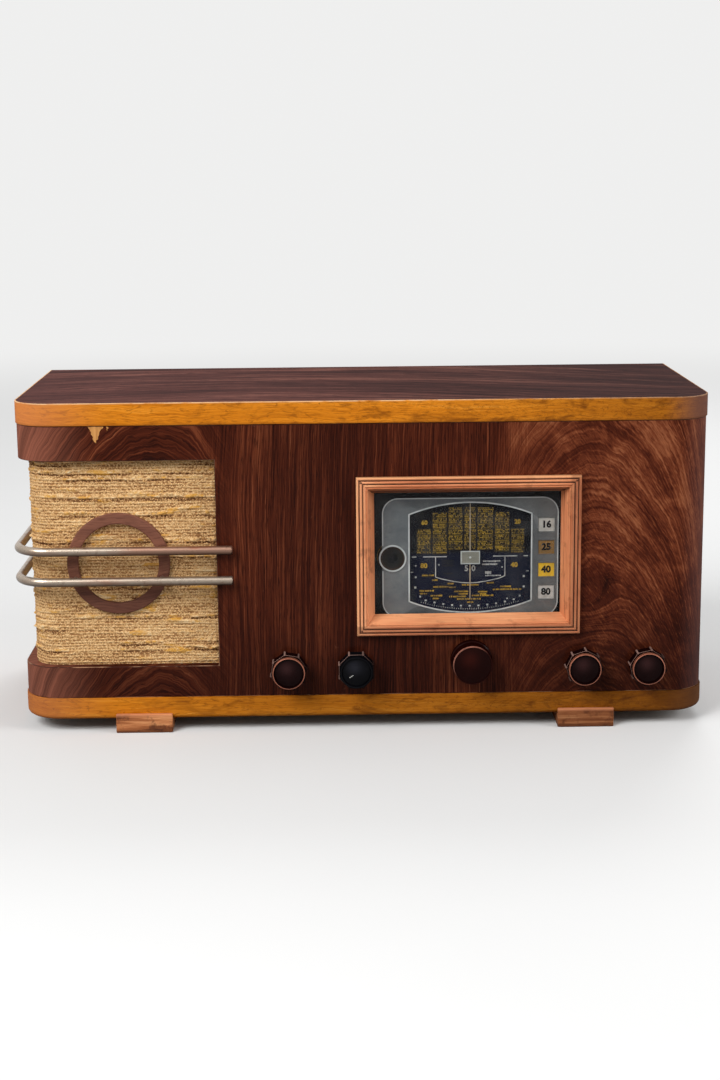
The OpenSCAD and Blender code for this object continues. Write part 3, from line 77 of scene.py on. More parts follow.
# The speaker's corner and the dial
AXIS_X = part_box("spindle_bush")[0].x + 7 * MM
AXIS_Z = (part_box("upper_bar")[0].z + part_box("lower_bar")[1].z) / 2
BAR_RISE = middle_of("upper_bar")[2] - AXIS_Z
CUT_X = LEFT + 177.5 * MM
CUT_Y = FRONT + 165 * MM
CUT_LOW = FLOOR + 29 * MM
CUT_HIGH = CEILING - 31.5 * MM
DIAL_LOW, DIAL_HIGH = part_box("dial_frame")
SCALE_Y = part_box("scale_plate")[0].y
MASK_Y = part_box("dial_mask")[0].y
CLOTH_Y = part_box("grille_ring")[1].y
RING_X = middle_of("grille_ring")[0]
EYE_X = middle_of("magic_eye")[0]

# The opening over the scale: half its width, its height at the side and in the middle, in millimetres
SCALE_HALF, SCALE_SIDE, SCALE_APEX = 55.2, 40.0, 50.7
SCALE_SAG = SCALE_APEX - SCALE_SIDE
SCALE_RADIUS = (SCALE_HALF ** 2 + SCALE_SAG ** 2) / (2 * SCALE_SAG)

# Where the front veneer's figure lies, and its chips: middle, depth under the top band, half width over depth
ARCH_X, BOW_X = 0.204, -0.184
KNOT_X, KNOT_Z = 0.201, 0.114
CHIPS = ((LEFT + 73.8 * MM, 15.5 * MM, 0.43), (LEFT + 84.6 * MM, 4.5 * MM, 0.3))

# The camera fitted to the photo: turns in radians (yaw, pitch, roll), place, lens in millimetres
CAMERA_TURNS = (0.0153, 0.2054, -0.0091)
CAMERA_PLACE = (-28.7 * MM, -1770.2 * MM, 519.0 * MM)
CAMERA_LENS = 63.12
BACKDROP, BACKDROP_STRENGTH = (0.94, 0.94, 0.935, 1.0), 0.92


def linear(value):
    """One channel of a screen colour, from 0 to 255, as the linear value that the shaders use."""
    c = value / 255
    return c / 12.92 if c <= 0.04045 else ((c + 0.055) / 1.055) ** 2.4


def tone(red, green, blue):
    return (linear(red), linear(green), linear(blue), 1.0)


def tones(*marks):
    """Stops of a colour ramp, each from its position and a screen colour."""
    return [(at, tone(*colour)) for at, *colour in marks]


def times(colour, share, plus=0.0):
    """A colour made darker or lighter, with all of its channels alike."""
    return (*(min(1.0, c * share + plus) for c in colour[:3]), 1.0)


def coat(weight, rough):
    """Shader values of a thin varnish or polish."""
    return {"Specular_IOR_Level": 0.0, "Coat_Weight": weight, "Coat_Roughness": rough}


# ---------------------------------------------------------------- materials


class Level:
    """A number that varies over a surface, so that a formula can be written out."""

    def __init__(self, finish, socket):
        self.finish, self.socket = finish, socket

    def __add__(self, other):
        return self.finish.calc("ADD", self, other)

    def __sub__(self, other):
        return self.finish.calc("SUBTRACT", self, other)

    def __mul__(self, other):
        return self.finish.calc("MULTIPLY", self, other)

    def __gt__(self, other):
        return self.finish.calc("GREATER_THAN", self, other)

    def __lt__(self, other):
        return self.finish.calc("LESS_THAN", self, other)

    def __abs__(self):
        return self.finish.calc("ABSOLUTE", self)


class Finish:
    """One procedural material, put together by short calls."""

    def __init__(self, name):
        self.material = bpy.data.materials.new(name)
        self.material.use_nodes = True
        self.tree = self.material.node_tree
        self.tree.nodes.clear()
        self.output = self.node("OutputMaterial")
        self.shader = self.node("BsdfPrincipled")
        self.tree.links.new(self.shader.outputs[0], self.output.inputs["Surface"])
        self.place = self.node("TexCoord").outputs["Object"]
        split = self.node("SeparateXYZ", {0: self.place})
        self.x, self.y, self.z = (Level(self, one) for one in split.outputs)

    def feed(self, socket, value):
        """Links a level or another node's output to an input, or sets a fixed value there."""
        if isinstance(value, Level):
            value = value.socket
        if isinstance(value, bpy.types.NodeSocket):
            self.tree.links.new(value, socket)
        else:
            socket.default_value = value

    def node(self, kind, inputs=None, **settings):
        made = self.tree.nodes.new("ShaderNode" + kind)
        for key, value in settings.items():
            setattr(made, key, value)
        for key, value in (inputs or {}).items():
            self.feed(made.inputs[key], value)
        return made

    def calc(self, kind, a, b=0.0, clamp=False):
        return Level(self, self.node("Math", {0: a, 1: b}, operation=kind, use_clamp=clamp).outputs[0])

    def higher(self, a, b):
        return self.calc("MAXIMUM", a, b)

    def lower(self, a, b):
        return self.calc("MINIMUM", a, b)

    def vector(self, x=0.0, y=0.0, z=0.0):
        return self.node("CombineXYZ", {0: x, 1: y, 2: z}).outputs[0]

    def length(self, vector):
        return Level(self, self.node("VectorMath", {0: vector}, operation="LENGTH").outputs["Value"])

    def mapped(self, scale, turn=(0, 0, 0)):
        return self.node("Mapping", {"Vector": self.place, "Scale": scale, "Rotation": turn}).outputs[0]

    def noise(self, vector, detail=3, rough=0.55, warp=0.0):
        made = self.node("TexNoise", {
            "Vector": vector, "Scale": 1.0, "Detail": detail, "Roughness": rough, "Distortion": warp,
        })
        return Level(self, made.outputs["Fac"])

    def clouds(self, scale, detail=3, rough=0.55, warp=0.0):
        """Noise at the place on the object, with one scale or with one for each axis."""
        scale = scale if isinstance(scale, tuple) else (scale,) * 3
        return self.noise(self.mapped(scale), detail, rough, warp)

    def cells(self, vector):
        return Level(self, self.node("TexVoronoi", {"Vector": vector, "Scale": 1.0}).outputs["Distance"])

    def attribute(self, name):
        return Level(self, self.node("Attribute", attribute_name=name).outputs["Fac"])

    def range(self, value, low, high, to_low=0.0, to_high=1.0, smooth=False):
        made = self.node("MapRange", {0: value, 1: low, 2: high, 3: to_low, 4: to_high},
                         interpolation_type="SMOOTHSTEP" if smooth else "LINEAR")
        return Level(self, made.outputs[0])

    def between(self, value, low, high):
        """The middle run of a noise, spread from low to high."""
        return self.range(value, 0.3, 0.7, low, high)

    def blend(self, share, a, b):
        """A level between two others."""
        return Level(self, self.node("Mix", {0: share, 2: a, 3: b}).outputs[0])

    def mix(self, share, a, b):
        """A colour between two others."""
        return self.node("Mix", {0: share, 6: a, 7: b}, data_type="RGBA").outputs[2]

    def stain(self, colour, value, low, high, share, other, smooth=False):
        """A colour with another mixed in, up to a share, as a value runs from low to high."""
        return self.mix(self.range(value, low, high, 0.0, share, smooth), colour, other)

    def ramp(self, value, stops, steps=False):
        made = self.node("ValToRGB", {0: value})
        if steps:
            made.color_ramp.interpolation = "CONSTANT"
        marks = made.color_ramp.elements
        while len(marks) < len(stops):
            marks.new(0.5)
        for mark, (at, colour) in zip(marks, stops):
            mark.position = at
            mark.color = colour
        return made.outputs[0]

    def done(self, base, rough, metal=0.0, relief=None, **others):
        """Feeds the shader; the relief is a height and how deep it is in metres."""
        values = {"Base Color": base, "Roughness": rough, "Metallic": metal}
        values.update((key.replace("_", " "), value) for key, value in others.items())
        if relief is not None:
            height, depth = relief
            bump = self.node("Bump", {"Height": height, "Distance": depth, "Strength": 1.0})
            values["Normal"] = bump.outputs[0]
        for key, value in values.items():
            self.feed(self.shader.inputs[key], value)
        return self.material


def fibres(f, across, along, coarse, fine):
    """Level and pore height of wood, from distances across and along its fibres."""
    def layer(wide, long, start, detail, rough, warp=0.0):
        return f.noise(f.vector(across * wide, along * long, start), detail, rough, warp)

    level = layer(coarse, 2.4, 0.3, 3, 0.5, 0.6) * 0.28
    level = level + layer(fine, 6.0, 1.7, 4, 0.7, 0.2) * 0.38
    level = level + layer(fine * 3.2, 16.0, 4.1, 2, 0.6) * 0.34
    return level, f.range(layer(fine * 2.8, 70.0, 7.9, 2, 0.6), 0.36, 0.45)


def grain(f, across, along, stops, coarse, fine, contrast=1.5):
    """Colour and pore height of straight wood."""
    level, pores = fibres(f, across, along, coarse, fine)
    level = f.range(level, 0.5 - 0.2 / contrast, 0.5 + 0.2 / contrast)
    colour = f.mix(f.range(pores, 0.0, 1.0, 0.6, 0.0), f.ramp(level, stops), stops[0][1])
    return colour, pores


def arched(f, across, centre, bend, limit):
    """Height whose level lines are arches round a centre, running on straight past a limit."""
    reach = abs(across - centre)
    near = f.lower(reach, limit)
    over = f.higher(reach - limit, 0.0)
    return f.z + (near * near * bend + over * (2 * bend * limit))


def wrapped(f):
    """Distance along the front that runs on round both corners."""
    return f.x + f.calc("SIGN", f.x) * (f.y - FRONT)


def rosewood_front():
    f = Finish("front_rosewood")
    run = wrapped(f)
    wander = f.clouds((4, 4, 1.8), 2, 0.5) - 0.5
    ripple = f.clouds((21, 21, 15)) - 0.5
    torn = f.clouds((110, 110, 90), 3, 0.6) - 0.5
    level, pores = fibres(f, run + wander * 0.05 + ripple * 0.004, f.z, 22.0, 480.0)
    level = level * 0.84 + 0.08
    drift = wander * 0.06 + ripple * 0.024 + torn * 0.006
    # Arches to the right of the dial, with a closed knot low down
    dx, dz = f.x - KNOT_X, f.z - KNOT_Z
    knot = f.calc("POWER", 2.718, (dx * dx + dz * dz) * -1800.0) * 0.036
    arch = (arched(f, run, ARCH_X, 15.6, 0.1) + knot + drift) * 0.42
    arch_level = fibres(f, arch, run * 0.8, 60.0, 260.0)[0]
    # Bows over and under the cloth
    bow = (arched(f, run, BOW_X, 13.0, 0.06) + drift) * 0.5
    bow_level, bow_pores = fibres(f, bow, run * 0.8, 60.0, 300.0)
    right = f.range(wander * 0.06 + f.x, 0.105, 0.175, smooth=True)
    left = f.range(wander * 0.05 + f.x, CUT_X - 0.030, CUT_X + 0.025, 1.0, 0.0, smooth=True)
    # Short fibres that run down to the right past the dial
    across, along = run * 0.819 + f.z * 0.574, run * 0.574 - f.z * 0.819
    dash = f.noise(f.vector(across * 720.0, along * 110.0, 5.0), 3, 0.7)
    side = f.range(f.x, 0.15, 0.22, 0.3, 1.0, smooth=True)
    soft = (arch_level - 0.5) * 0.66 + 0.516
    soft = soft + (dash - 0.5) * side * 0.20
    soft = soft + (f.clouds((30, 30, 24), 3, 0.55, 0.8) - 0.5) * 0.22
    soft = soft + f.range(f.z, 0.09, 0.22, 0.0, 0.056, smooth=True)
    level = f.blend(left, f.blend(right, level, soft), (bow_level - 0.5) * 0.8 + 0.5)
    level = f.range(level, 0.365, 0.635)
    pores = f.blend(right, f.blend(left, pores, bow_pores), f.range(dash, 0.30, 0.42, 0.25, 1.0))
    colour = f.ramp(level, tones((0.0, 22, 8, 6), (0.3, 50, 19, 11), (0.58, 78, 33, 19), (0.8, 112, 56, 34),
                                 (1.0, 146, 86, 56)))
    colour = f.mix(f.range(pores, 0.0, 1.0, 0.6, 0.0), colour, tone(24, 9, 7))
    glint = f.range(dash, 0.60, 0.76, 0.0, 0.45) * right * side
    colour = f.mix(glint, colour, tone(170, 100, 58))
    # Darker between the cloth and the dial and along the foot of the front, paler towards the left corner
    dark = f.range(abs(f.x + 0.04), 0.02, 0.08, 0.28, 0.0, smooth=True)
    low = f.range(f.z, 0.045, 0.16, 0.45, 0.0, smooth=True)
    colour = f.mix(f.higher(dark, low), colour, tone(24, 9, 8))
    edge = f.range(f.x, LEFT + 0.075, LEFT + 0.005, smooth=True)
    colour = f.mix(edge * f.range(level, 0.2, 0.8, 0.3, 0.75), colour, tone(164, 102, 82))
    # Painted reflection: a pale glare on the bend of the right corner.
    colour = f.stain(colour, f.x, RIGHT - 0.028, RIGHT - 0.002, 0.3, tone(108, 80, 78), smooth=True)
    # A chip in the veneer under the top band, and a smaller one, show the light wood below
    ragged = (f.clouds(260, 2) - 0.5) * 0.005
    chip, small = (abs(f.x - (ragged + x)) < (f.z - (CEILING - deep)) * share for x, deep, share in CHIPS)
    chip = f.higher(chip, small) * (f.y < FRONT + 2 * MM)
    bare = f.ramp(f.clouds((500, 500, 30)), tones((0.3, 176, 116, 62), (0.7, 214, 156, 92)))
    colour = f.mix(chip, colour, bare)
    colour = f.stain(colour, f.clouds(90, 4, 0.7), 0.70, 0.76, 0.2, tone(150, 100, 76))
    rough = f.higher(f.between(f.clouds(40), 0.22, 0.38), chip * 0.7)
    return f.done(colour, rough, relief=(pores * 0.35 - chip * 4.0, 0.00012), **coat(0.06, 0.16))


def rosewood_top():
    f = Finish("top_rosewood")
    wander = f.clouds((2.0, 4.5, 4.5), 2, 0.5)
    ripple = f.clouds((10, 20, 20), 2, 0.5)
    torn = f.clouds((50, 160, 160), 3, 0.6)
    # Long loops, closed towards the left end
    bend = f.x + 0.12
    across = f.y + wander * 0.10 + ripple * 0.012 + torn * 0.0016 + bend * bend * 0.5 + f.z * 0.4
    stops = tones((0.0, 30, 13, 12), (0.35, 62, 32, 28), (0.65, 94, 54, 47), (1.0, 140, 92, 78))
    colour, pores = grain(f, across, f.x, stops, 40.0, 210.0, 1.6)
    # Painted sheen, paler over the left of the top, and painted shade darkening it towards the right end.
    colour = f.mix(f.range(f.x, -0.3, 0.1, 0.18, 0.0), colour, tone(112, 76, 76))
    colour = f.stain(colour, f.x, -0.05, 0.28, 0.56, tone(34, 18, 20))
    colour = f.stain(colour, f.clouds(60, 5, 0.7), 0.66, 0.74, 0.2, tone(150, 108, 96))
    # Pale along the front edge, partly wear and partly painted highlight.
    wear_and_highlight = f.range(f.y, FRONT + 2.2 * MM, FRONT + 0.6 * MM)
    wear_and_highlight = wear_and_highlight * f.range(f.clouds(60, 4, 0.7), 0.40, 0.56, 0.0, 0.7)
    colour = f.mix(wear_and_highlight, colour, tone(196, 158, 128))
    rough = f.between(f.clouds((25, 60, 60)), 0.24, 0.40)
    return f.done(colour, rough, relief=(pores, 0.00004), **coat(0.06, 0.2))


def maple(name, low, high, middle, right, wear_and_highlight, near_corner, far_corner):
    """Golden banding with clouds and dark specks, browner to the right, with its own tones at the corners."""
    f = Finish(name)
    across = f.z + f.clouds((9, 9, 14)) * 0.02
    stops = tones((0.0, 176, 98, 18), (0.4, 208, 122, 25), (0.7, 226, 138, 34), (1.0, 240, 162, 60))
    colour, pores = grain(f, across, wrapped(f), stops, 60.0, 420.0, 1.2)
    cloud = f.range(f.clouds((26, 26, 60), 5, 0.62, 1.4), 0.50, 0.66)
    colour = f.mix(cloud * f.range(f.x, -0.25, 0.05, 0.25, 0.7), colour, tone(118, 60, 12))
    colour = f.stain(colour, f.clouds((60, 60, 190), 4, 0.6, 2.2), 0.56, 0.66, 0.5, tone(128, 68, 16))
    vein = f.range(abs(f.clouds((42, 42, 95), 3, 0.6, 3.0) - 0.5), 0.0, 0.016, 1.0, 0.0)
    colour = f.mix(vein * f.range(f.x, -0.05, 0.16, 0.0, 0.55), colour, tone(84, 42, 12))
    speck = f.clouds((150, 150, 330), 4, 0.75)
    colour = f.stain(colour, speck, 0.64, 0.71, 0.75, tone(74, 38, 16))
    shade = f.range(f.x, -0.28, -0.02, 0.0, middle) + f.range(f.x, 0.06, 0.26, 0.0, right)
    colour = f.mix(shade, colour, tone(66, 36, 14))
    colour = f.stain(colour, f.x, LEFT + CORNER + 0.06, LEFT + 0.004, 0.66, near_corner, smooth=True)
    bend = f.range(f.x, RIGHT - CORNER - 0.012, RIGHT - 0.008, 0.0, 0.85, smooth=True)
    bend = bend * f.range(f.y, FRONT + CORNER, FRONT + 0.11, 1.0, 0.3, smooth=True)
    colour = f.mix(bend, colour, far_corner)
    # A pale line along the upper edge, partly wear and partly painted highlight, weaker to the right.
    line = f.range(f.z, high - 1.1 * MM, high - 0.3 * MM) * f.range(f.clouds((70, 70, 10), 4), 0.3, 0.5)
    colour = f.mix(line * f.range(f.x, 0.06, 0.13, wear_and_highlight, wear_and_highlight * 0.3), colour, tone(236, 196, 150))
    colour = f.mix(f.range(f.z, low, low + 2.5 * MM, 0.45, 0.0), colour, tone(96, 52, 24))
    return f.done(colour, f.between(speck, 0.30, 0.46), relief=(pores + speck, 0.00006), **coat(0.08, 0.2))


def edge_wear_and_highlight():
    """Veneer edge with pale wood showing through here and there, partly wear and partly painted highlight."""
    f = Finish("veneer_edge_wear_and_highlight")
    patch = f.range(f.clouds(45, 4, 0.6), 0.44, 0.62)
    # Painted highlight: the pale patches are stronger on the lower edges.
    low = f.range(f.z, 0.06, 0.13, 0.9, 0.25, smooth=True)
    colour = f.mix(patch * low, tone(58, 26, 20), tone(176, 132, 100))
    return f.done(colour, 0.5, relief=(patch, 0.0001), Specular_IOR_Level=0.1)


def plain_wood(name, dark, light, along, rough, below=None):
    """Straight wood along one axis, which may be darker in the ring's lower half."""
    f = Finish(name)
    axes = {"x": f.x, "y": f.y, "z": f.z}
    run = axes.pop(along)
    first, second = axes.values()
    across = first + second * 0.8 + f.clouds(8, 2) * 0.03
    middle = tuple((a + b) / 2 for a, b in zip(dark, light))
    colour, pores = grain(f, across, run, ((0.0, dark), (0.5, middle), (1.0, light)), 40.0, 260.0)
    if below is not None:
        colour = f.stain(colour, f.z, AXIS_Z + 0.03, AXIS_Z - 0.03, 0.45, below)
    speck = f.clouds(120, 4, 0.7)
    colour = f.stain(colour, speck, 0.64, 0.74, 0.35, dark)
    rough = f.between(speck, rough - 0.08, rough + 0.1)
    return f.done(colour, rough, relief=(pores, 0.00008), Specular_IOR_Level=0.15)


def copper_paint(name, grooves=False):
    """Bronzed wood: fine streaks along each length, pale and brown with wear in places, with painted light
    and shade on the left length, the beads, the reveal and the grooves.
    """
    f = Finish(name)
    wear = f.clouds(70, 5, 0.65)
    middle, half = (DIAL_LOW + DIAL_HIGH) / 2, (DIAL_HIGH - DIAL_LOW) / 2
    aside = abs(f.x - middle.x) - half.x
    above = abs(f.z - middle.z) - half.z
    level = f.blend(aside > above, f.clouds((22, 700, 700), 4, 0.65), f.clouds((700, 700, 22), 4, 0.65))
    colour = f.ramp(f.clouds(14), tones((0.3, 200, 118, 76), (0.55, 220, 138, 94), (0.8, 234, 160, 114)))
    # Painted light: paler over the left length of the frame.
    colour = f.stain(colour, f.x, DIAL_LOW.x + 18 * MM, DIAL_LOW.x + 6 * MM, 0.5, tone(252, 178, 130))
    colour = f.stain(colour, level, 0.5, 0.66, 0.6, tone(240, 178, 126))
    colour = f.stain(colour, level, 0.46, 0.32, 0.7, tone(120, 60, 34))
    colour = f.stain(colour, wear, 0.56, 0.72, 0.55, tone(112, 56, 32))
    # Painted highlight along the outer bead at the top and left, painted shade on the beads below and at the
    # right
    rim = f.range(f.higher(aside, above), -2.6 * MM, -0.6 * MM)
    lit = f.higher(f.range(f.z, DIAL_HIGH.z - 3 * MM, DIAL_HIGH.z - MM),
                   f.range(f.x, DIAL_LOW.x + 3 * MM, DIAL_LOW.x + MM))
    colour = f.mix(rim * lit * 0.5, colour, tone(246, 186, 132))
    shaded = f.higher(f.range(f.x, DIAL_HIGH.x - 10.5 * MM, DIAL_HIGH.x - 8 * MM, 0.0, 0.42),
                      f.range(f.z, DIAL_LOW.z + 9.8 * MM, DIAL_LOW.z + 8 * MM, 0.0, 0.5))
    colour = f.mix(shaded * (f.y < FRONT), colour, tone(104, 50, 32))
    # Painted shade under the upper length and painted light on the lower one, deeper into the reveal
    deep = f.range(f.y, FRONT - 5.5 * MM, FRONT + 6 * MM)
    upper = f.range(above, -17 * MM, -15 * MM) * (f.z > middle.z) * (aside < above + MM)
    colour = f.mix(upper * deep * 0.85, colour, tone(58, 26, 18))
    lower = (f.z < middle.z) * (aside < above)
    colour = f.mix(lower * deep * 0.28, colour, tone(250, 190, 138))
    # Painted shade: the grooves between the beads are darkened.
    if grooves:
        colour = f.mix(0.86, colour, tone(46, 18, 12))
    return f.done(colour, f.between(wear, 0.34, 0.52), relief=(wear + level, 0.00007), Specular_IOR_Level=0.2)


def foot_wood():
    """Coppery wood blocks, darker and browner at the lower edge and on the right foot, with a painted
    highlight along the top edge.
    """
    f = Finish("coppery_foot_wood")
    level = f.clouds((14, 160, 260), 5, 0.7)
    wear = f.clouds(90, 5, 0.65)
    colour = f.ramp(level, tones((0.34, 84, 42, 20), (0.47, 160, 94, 54), (0.55, 188, 118, 72),
                                 (0.68, 224, 156, 104)))
    colour = f.stain(colour, wear, 0.54, 0.66, 0.75, tone(74, 36, 20))
    colour = f.stain(colour, f.x, 0.0, 0.1, 0.58, tone(84, 42, 18))
    colour = f.stain(colour, f.z, 4 * MM, 0.0, 0.7, tone(60, 32, 18))
    # Painted highlight along the top edge of each foot.
    colour = f.stain(colour, f.z, 14.5 * MM, 16.5 * MM, 0.5, tone(226, 148, 104))
    return f.done(colour, f.between(wear, 0.4, 0.6), relief=(level + wear, 0.00015), Specular_IOR_Level=0.2)


def grille_weave():
    """Looped cloth in rows, with slubs and yellow flecks; most of the relief comes from the mesh."""
    f = Finish("grille_weave")
    run = wrapped(f)

    def laid(along, up, start=0.0):
        return f.vector(run * along, start, f.z * up)

    loops = f.range(f.cells(laid(700.0, 620.0)), 0.12, 0.66, 1.0, 0.0)
    fuzz = f.noise(laid(1300.0, 1900.0), 2, 0.6)
    patch = f.noise(laid(24.0, 70.0, 6.0), 3, 0.6)
    # Colour follows the relief on the mesh, which carries painted shade in the hollows between rows and
    # painted shadow under the thick rows.
    level = f.attribute("relief") * 0.78 + loops * 0.42 + fuzz * 0.20 + f.between(patch, -0.14, 0.03)
    colour = f.ramp(level, tones((0.16, 82, 50, 30), (0.34, 158, 112, 70), (0.48, 212, 165, 110),
                                 (0.72, 238, 198, 144), (1.0, 248, 220, 172)))
    fleck = f.noise(laid(60.0, 130.0), 4, 0.65, 0.9)
    golden = f.range(fleck, 0.48, 0.58) * f.range(f.attribute("nubs"), 0.1, 0.45)
    golden = f.higher(golden, f.range(fleck, 0.64, 0.72, 0.0, 0.5))
    colour = f.mix(golden * 0.75, colour, tone(216, 154, 52))
    colour = f.stain(colour, f.noise(laid(80.0, 380.0, 3.0), 3, 0.6), 0.60, 0.70, 0.5, tone(128, 88, 48))
    # Browner inside the ring on the front, where no board lies behind the cloth
    radius = f.length(f.vector(f.x - RING_X, 0.0, f.z - AXIS_Z))
    radius = radius + f.range(f.y, FRONT + CORNER, FRONT + CORNER + MM, 0.0, 0.1)
    colour = f.mix(f.range(radius, 31 * MM, 37 * MM, 0.22, 0.0), colour, tone(110, 74, 44))
    return f.done(colour, 0.92, relief=(fuzz * 0.4 + loops, 0.0005), Specular_IOR_Level=0.1)


def worn_nickel():
    """Nickel bar stock with copper showing where the plate has gone."""
    f = Finish("worn_nickel")
    upper = f.range(f.z, AXIS_Z - 2 * MM, AXIS_Z + 2 * MM)
    bare = upper * f.range(f.x, RING_X - 0.012, RING_X + 0.02, smooth=True)
    patch = f.range(f.clouds((16, 60, 90), 4, 0.6), 0.52, 0.72, 0.0, 0.7)
    share = f.calc("ADD", bare * 0.7, patch, clamp=True)
    colour = f.mix(share, tone(184, 168, 151), tone(158, 106, 83))
    # Painted shade: darker from the crown of each bar down to its underside
    above = f.z - AXIS_Z
    above = above - f.calc("SIGN", above) * BAR_RISE
    colour = f.stain(colour, above, 3 * MM, -3 * MM, 0.88, tone(34, 21, 14))
    fine = f.clouds(260, 4, 0.7)
    colour = f.stain(colour, fine, 0.56, 0.72, 0.6, tone(92, 68, 54))
    return f.done(colour, f.between(fine, 0.24, 0.38) + share * 0.08, 0.9, relief=(fine, 0.00003))


def metal(name, colour, rough, brushed=None, metallic=1.0, spots=None):
    """Bare or plated metal, with brush lines along one axis and dull spots."""
    f = Finish(name)
    scale = {"x": (12, 500, 500), "y": (500, 12, 500), None: (160, 160, 160)}[brushed]
    line = f.clouds(scale, 4, 0.6)
    base = f.stain(colour, f.clouds(35, 4, 0.6), 0.4, 0.75, 0.6, spots or times(colour, 0.62))
    base = f.stain(base, line, 0.35, 0.7, 0.35, times(colour, 0.62))
    return f.done(base, f.between(line, rough - 0.08, rough + 0.12), metallic, relief=(line, 0.00003))


def paint(name, colour, rough=0.45, dust=0.25, chips=None):
    """Dull paint with darker clouds and dust, chipped where a colour for the chips is given."""
    f = Finish(name)
    cloud = f.clouds(28, 5, 0.65)
    base = f.stain(colour, cloud, 0.42, 0.7, 0.8, times(colour, 0.6))
    base = f.stain(base, cloud, 0.30, 0.12, dust, tone(150, 140, 128))
    if chips is not None:
        base = f.stain(base, f.clouds(140, 4, 0.7), 0.69, 0.72, 1.0, chips)
    rough = f.between(cloud, rough - 0.08, rough + 0.12)
    return f.done(base, rough, relief=(f.clouds(700, 2, 0.5), 0.00004), Specular_IOR_Level=0.2)


def bakelite(name, colour, painted_highlight, rough=0.22, marks="sheen"):
    """Pressed phenolic with faint clouds and scratches, with a painted highlight where an attribute of the
    piece says so.
    """
    f = Finish(name)
    scratch = f.clouds((900, 900, 60), 3, 0.6)
    base = f.stain(colour, f.clouds(60, 4, 0.6), 0.45, 0.75, 0.7, times(colour, 1.7, 0.001))
    # Painted highlight: a sheen on a knob's face, or the upper left of its edges, as the attribute gives.
    base = f.mix(f.attribute(marks), base, painted_highlight)
    rough = f.range(scratch, 0.35, 0.7, rough - 0.04, rough + 0.16)
    return f.done(base, rough, relief=(scratch, 0.00002), **coat(0.09, 0.16))


def rim_highlight():
    """Edge of the tuning knob, with a painted highlight over its upper left, broken up by noise."""
    f = Finish("tuning_rim_bakelite")
    aside = f.z - (f.x - AXIS_X) * 0.8
    painted_highlight = f.range(aside - 63.5 * MM, -2 * MM, 20 * MM, 0.0, 0.85, smooth=True)
    patch = f.range(f.clouds(200, 3, 0.6), 0.3, 0.55, 0.4, 1.0)
    return f.done(f.mix(painted_highlight * patch, tone(40, 14, 11), tone(158, 104, 88)), 0.3, **coat(0.09, 0.16))


def glassy(name, colour, alpha, rough, spots):
    """Thin clear material, a little dusty."""
    f = Finish(name)
    cloud = f.clouds(45, 4, 0.6)
    base = f.stain(colour, cloud, 0.5, 0.8, 0.5, tone(190, 190, 186))
    return f.done(base, f.range(cloud, 0.3, 0.8, rough, rough + 0.10), Specular_IOR_Level=0.6,
                  Alpha=f.range(cloud, 0.3, 0.8, alpha, min(1.0, alpha + spots)))


def mask_enamel():
    """Grey enamel, mottled and a little lighter to the right of the scale."""
    f = Finish("mask_enamel")
    fine = f.clouds(300, 3, 0.6)
    stops = tones((0.3, 84, 90, 94), (0.55, 113, 117, 118), (0.8, 140, 142, 140))
    colour = f.ramp(f.clouds(26, 5, 0.65), stops)
    colour = f.stain(colour, f.x, AXIS_X + 0.05, AXIS_X + 0.07, 0.2, tone(178, 178, 172))
    colour = f.stain(colour, fine, 0.6, 0.75, 0.4, tone(66, 72, 78))
    return f.done(colour, 0.5, relief=(fine, 0.00002), Specular_IOR_Level=0.15)


def scale_enamel():
    """Dark enamel: brown behind the columns, navy below."""
    f = Finish("scale_enamel")
    cloud = f.clouds(40, 4, 0.6)
    colour = f.mix(f.range(f.z, AXIS_Z + MM, AXIS_Z + 5 * MM), tone(18, 21, 40), tone(20, 18, 20))
    colour = f.stain(colour, cloud, 0.45, 0.75, 0.4, tone(40, 42, 56))
    return f.done(colour, f.between(cloud, 0.34, 0.5), relief=(cloud, 0.00003), Specular_IOR_Level=0.0)


def ink(name, colour, faded):
    """Printed marks, faded unevenly."""
    f = Finish(name)
    base = f.stain(colour, f.clouds(90, 3, 0.6), 0.35, 0.7, 1.0, faded)
    base = f.stain(base, f.clouds(1500, 2, 0.6), 0.55, 0.75, 0.5, faded)
    return f.done(base, 0.6, Specular_IOR_Level=0.1)


def window_tints():
    """Four windows, from the foot: grey, amber, brown, grey."""
    f = Finish("window_tints")
    up = f.range(f.z, AXIS_Z - 43 * MM, AXIS_Z + 39.8 * MM)
    stops = tones((0.0, 206, 206, 200), (0.25, 244, 196, 48), (0.5, 142, 106, 54), (0.75, 196, 196, 188))
    cloud = f.clouds(160, 4, 0.6)
    base = f.stain(f.ramp(up, stops, steps=True), cloud, 0.4, 0.8, 0.45, tone(96, 84, 66))
    return f.done(base, 0.38, relief=(cloud, 0.00004), Specular_IOR_Level=0.15)


def eye_glass():
    """Tuning eye: dark cap in the middle and a dim fluorescent cone round it."""
    f = Finish("tuning_eye_glass")
    dx, dz = f.x - EYE_X, f.z - AXIS_Z
    radius = f.calc("SQRT", dx * dx + dz * dz)
    fan = f.range(abs(f.calc("ARCTAN2", dx, dz)), 0.45, 0.55)
    colour = f.mix(fan, tone(12, 10, 9), tone(22, 20, 15))
    colour = f.mix(f.range(radius, 4.6 * MM, 4.9 * MM, 1.0, 0.0), colour, tone(8, 7, 7))
    colour = f.stain(colour, radius, 8.8 * MM, 10.4 * MM, 0.8, tone(64, 42, 26))
    cloud = f.clouds(120)
    colour = f.stain(colour, cloud, 0.55, 0.8, 0.2, tone(70, 54, 42))
    return f.done(colour, f.between(cloud, 0.06, 0.16), **coat(0.2, 0.05))


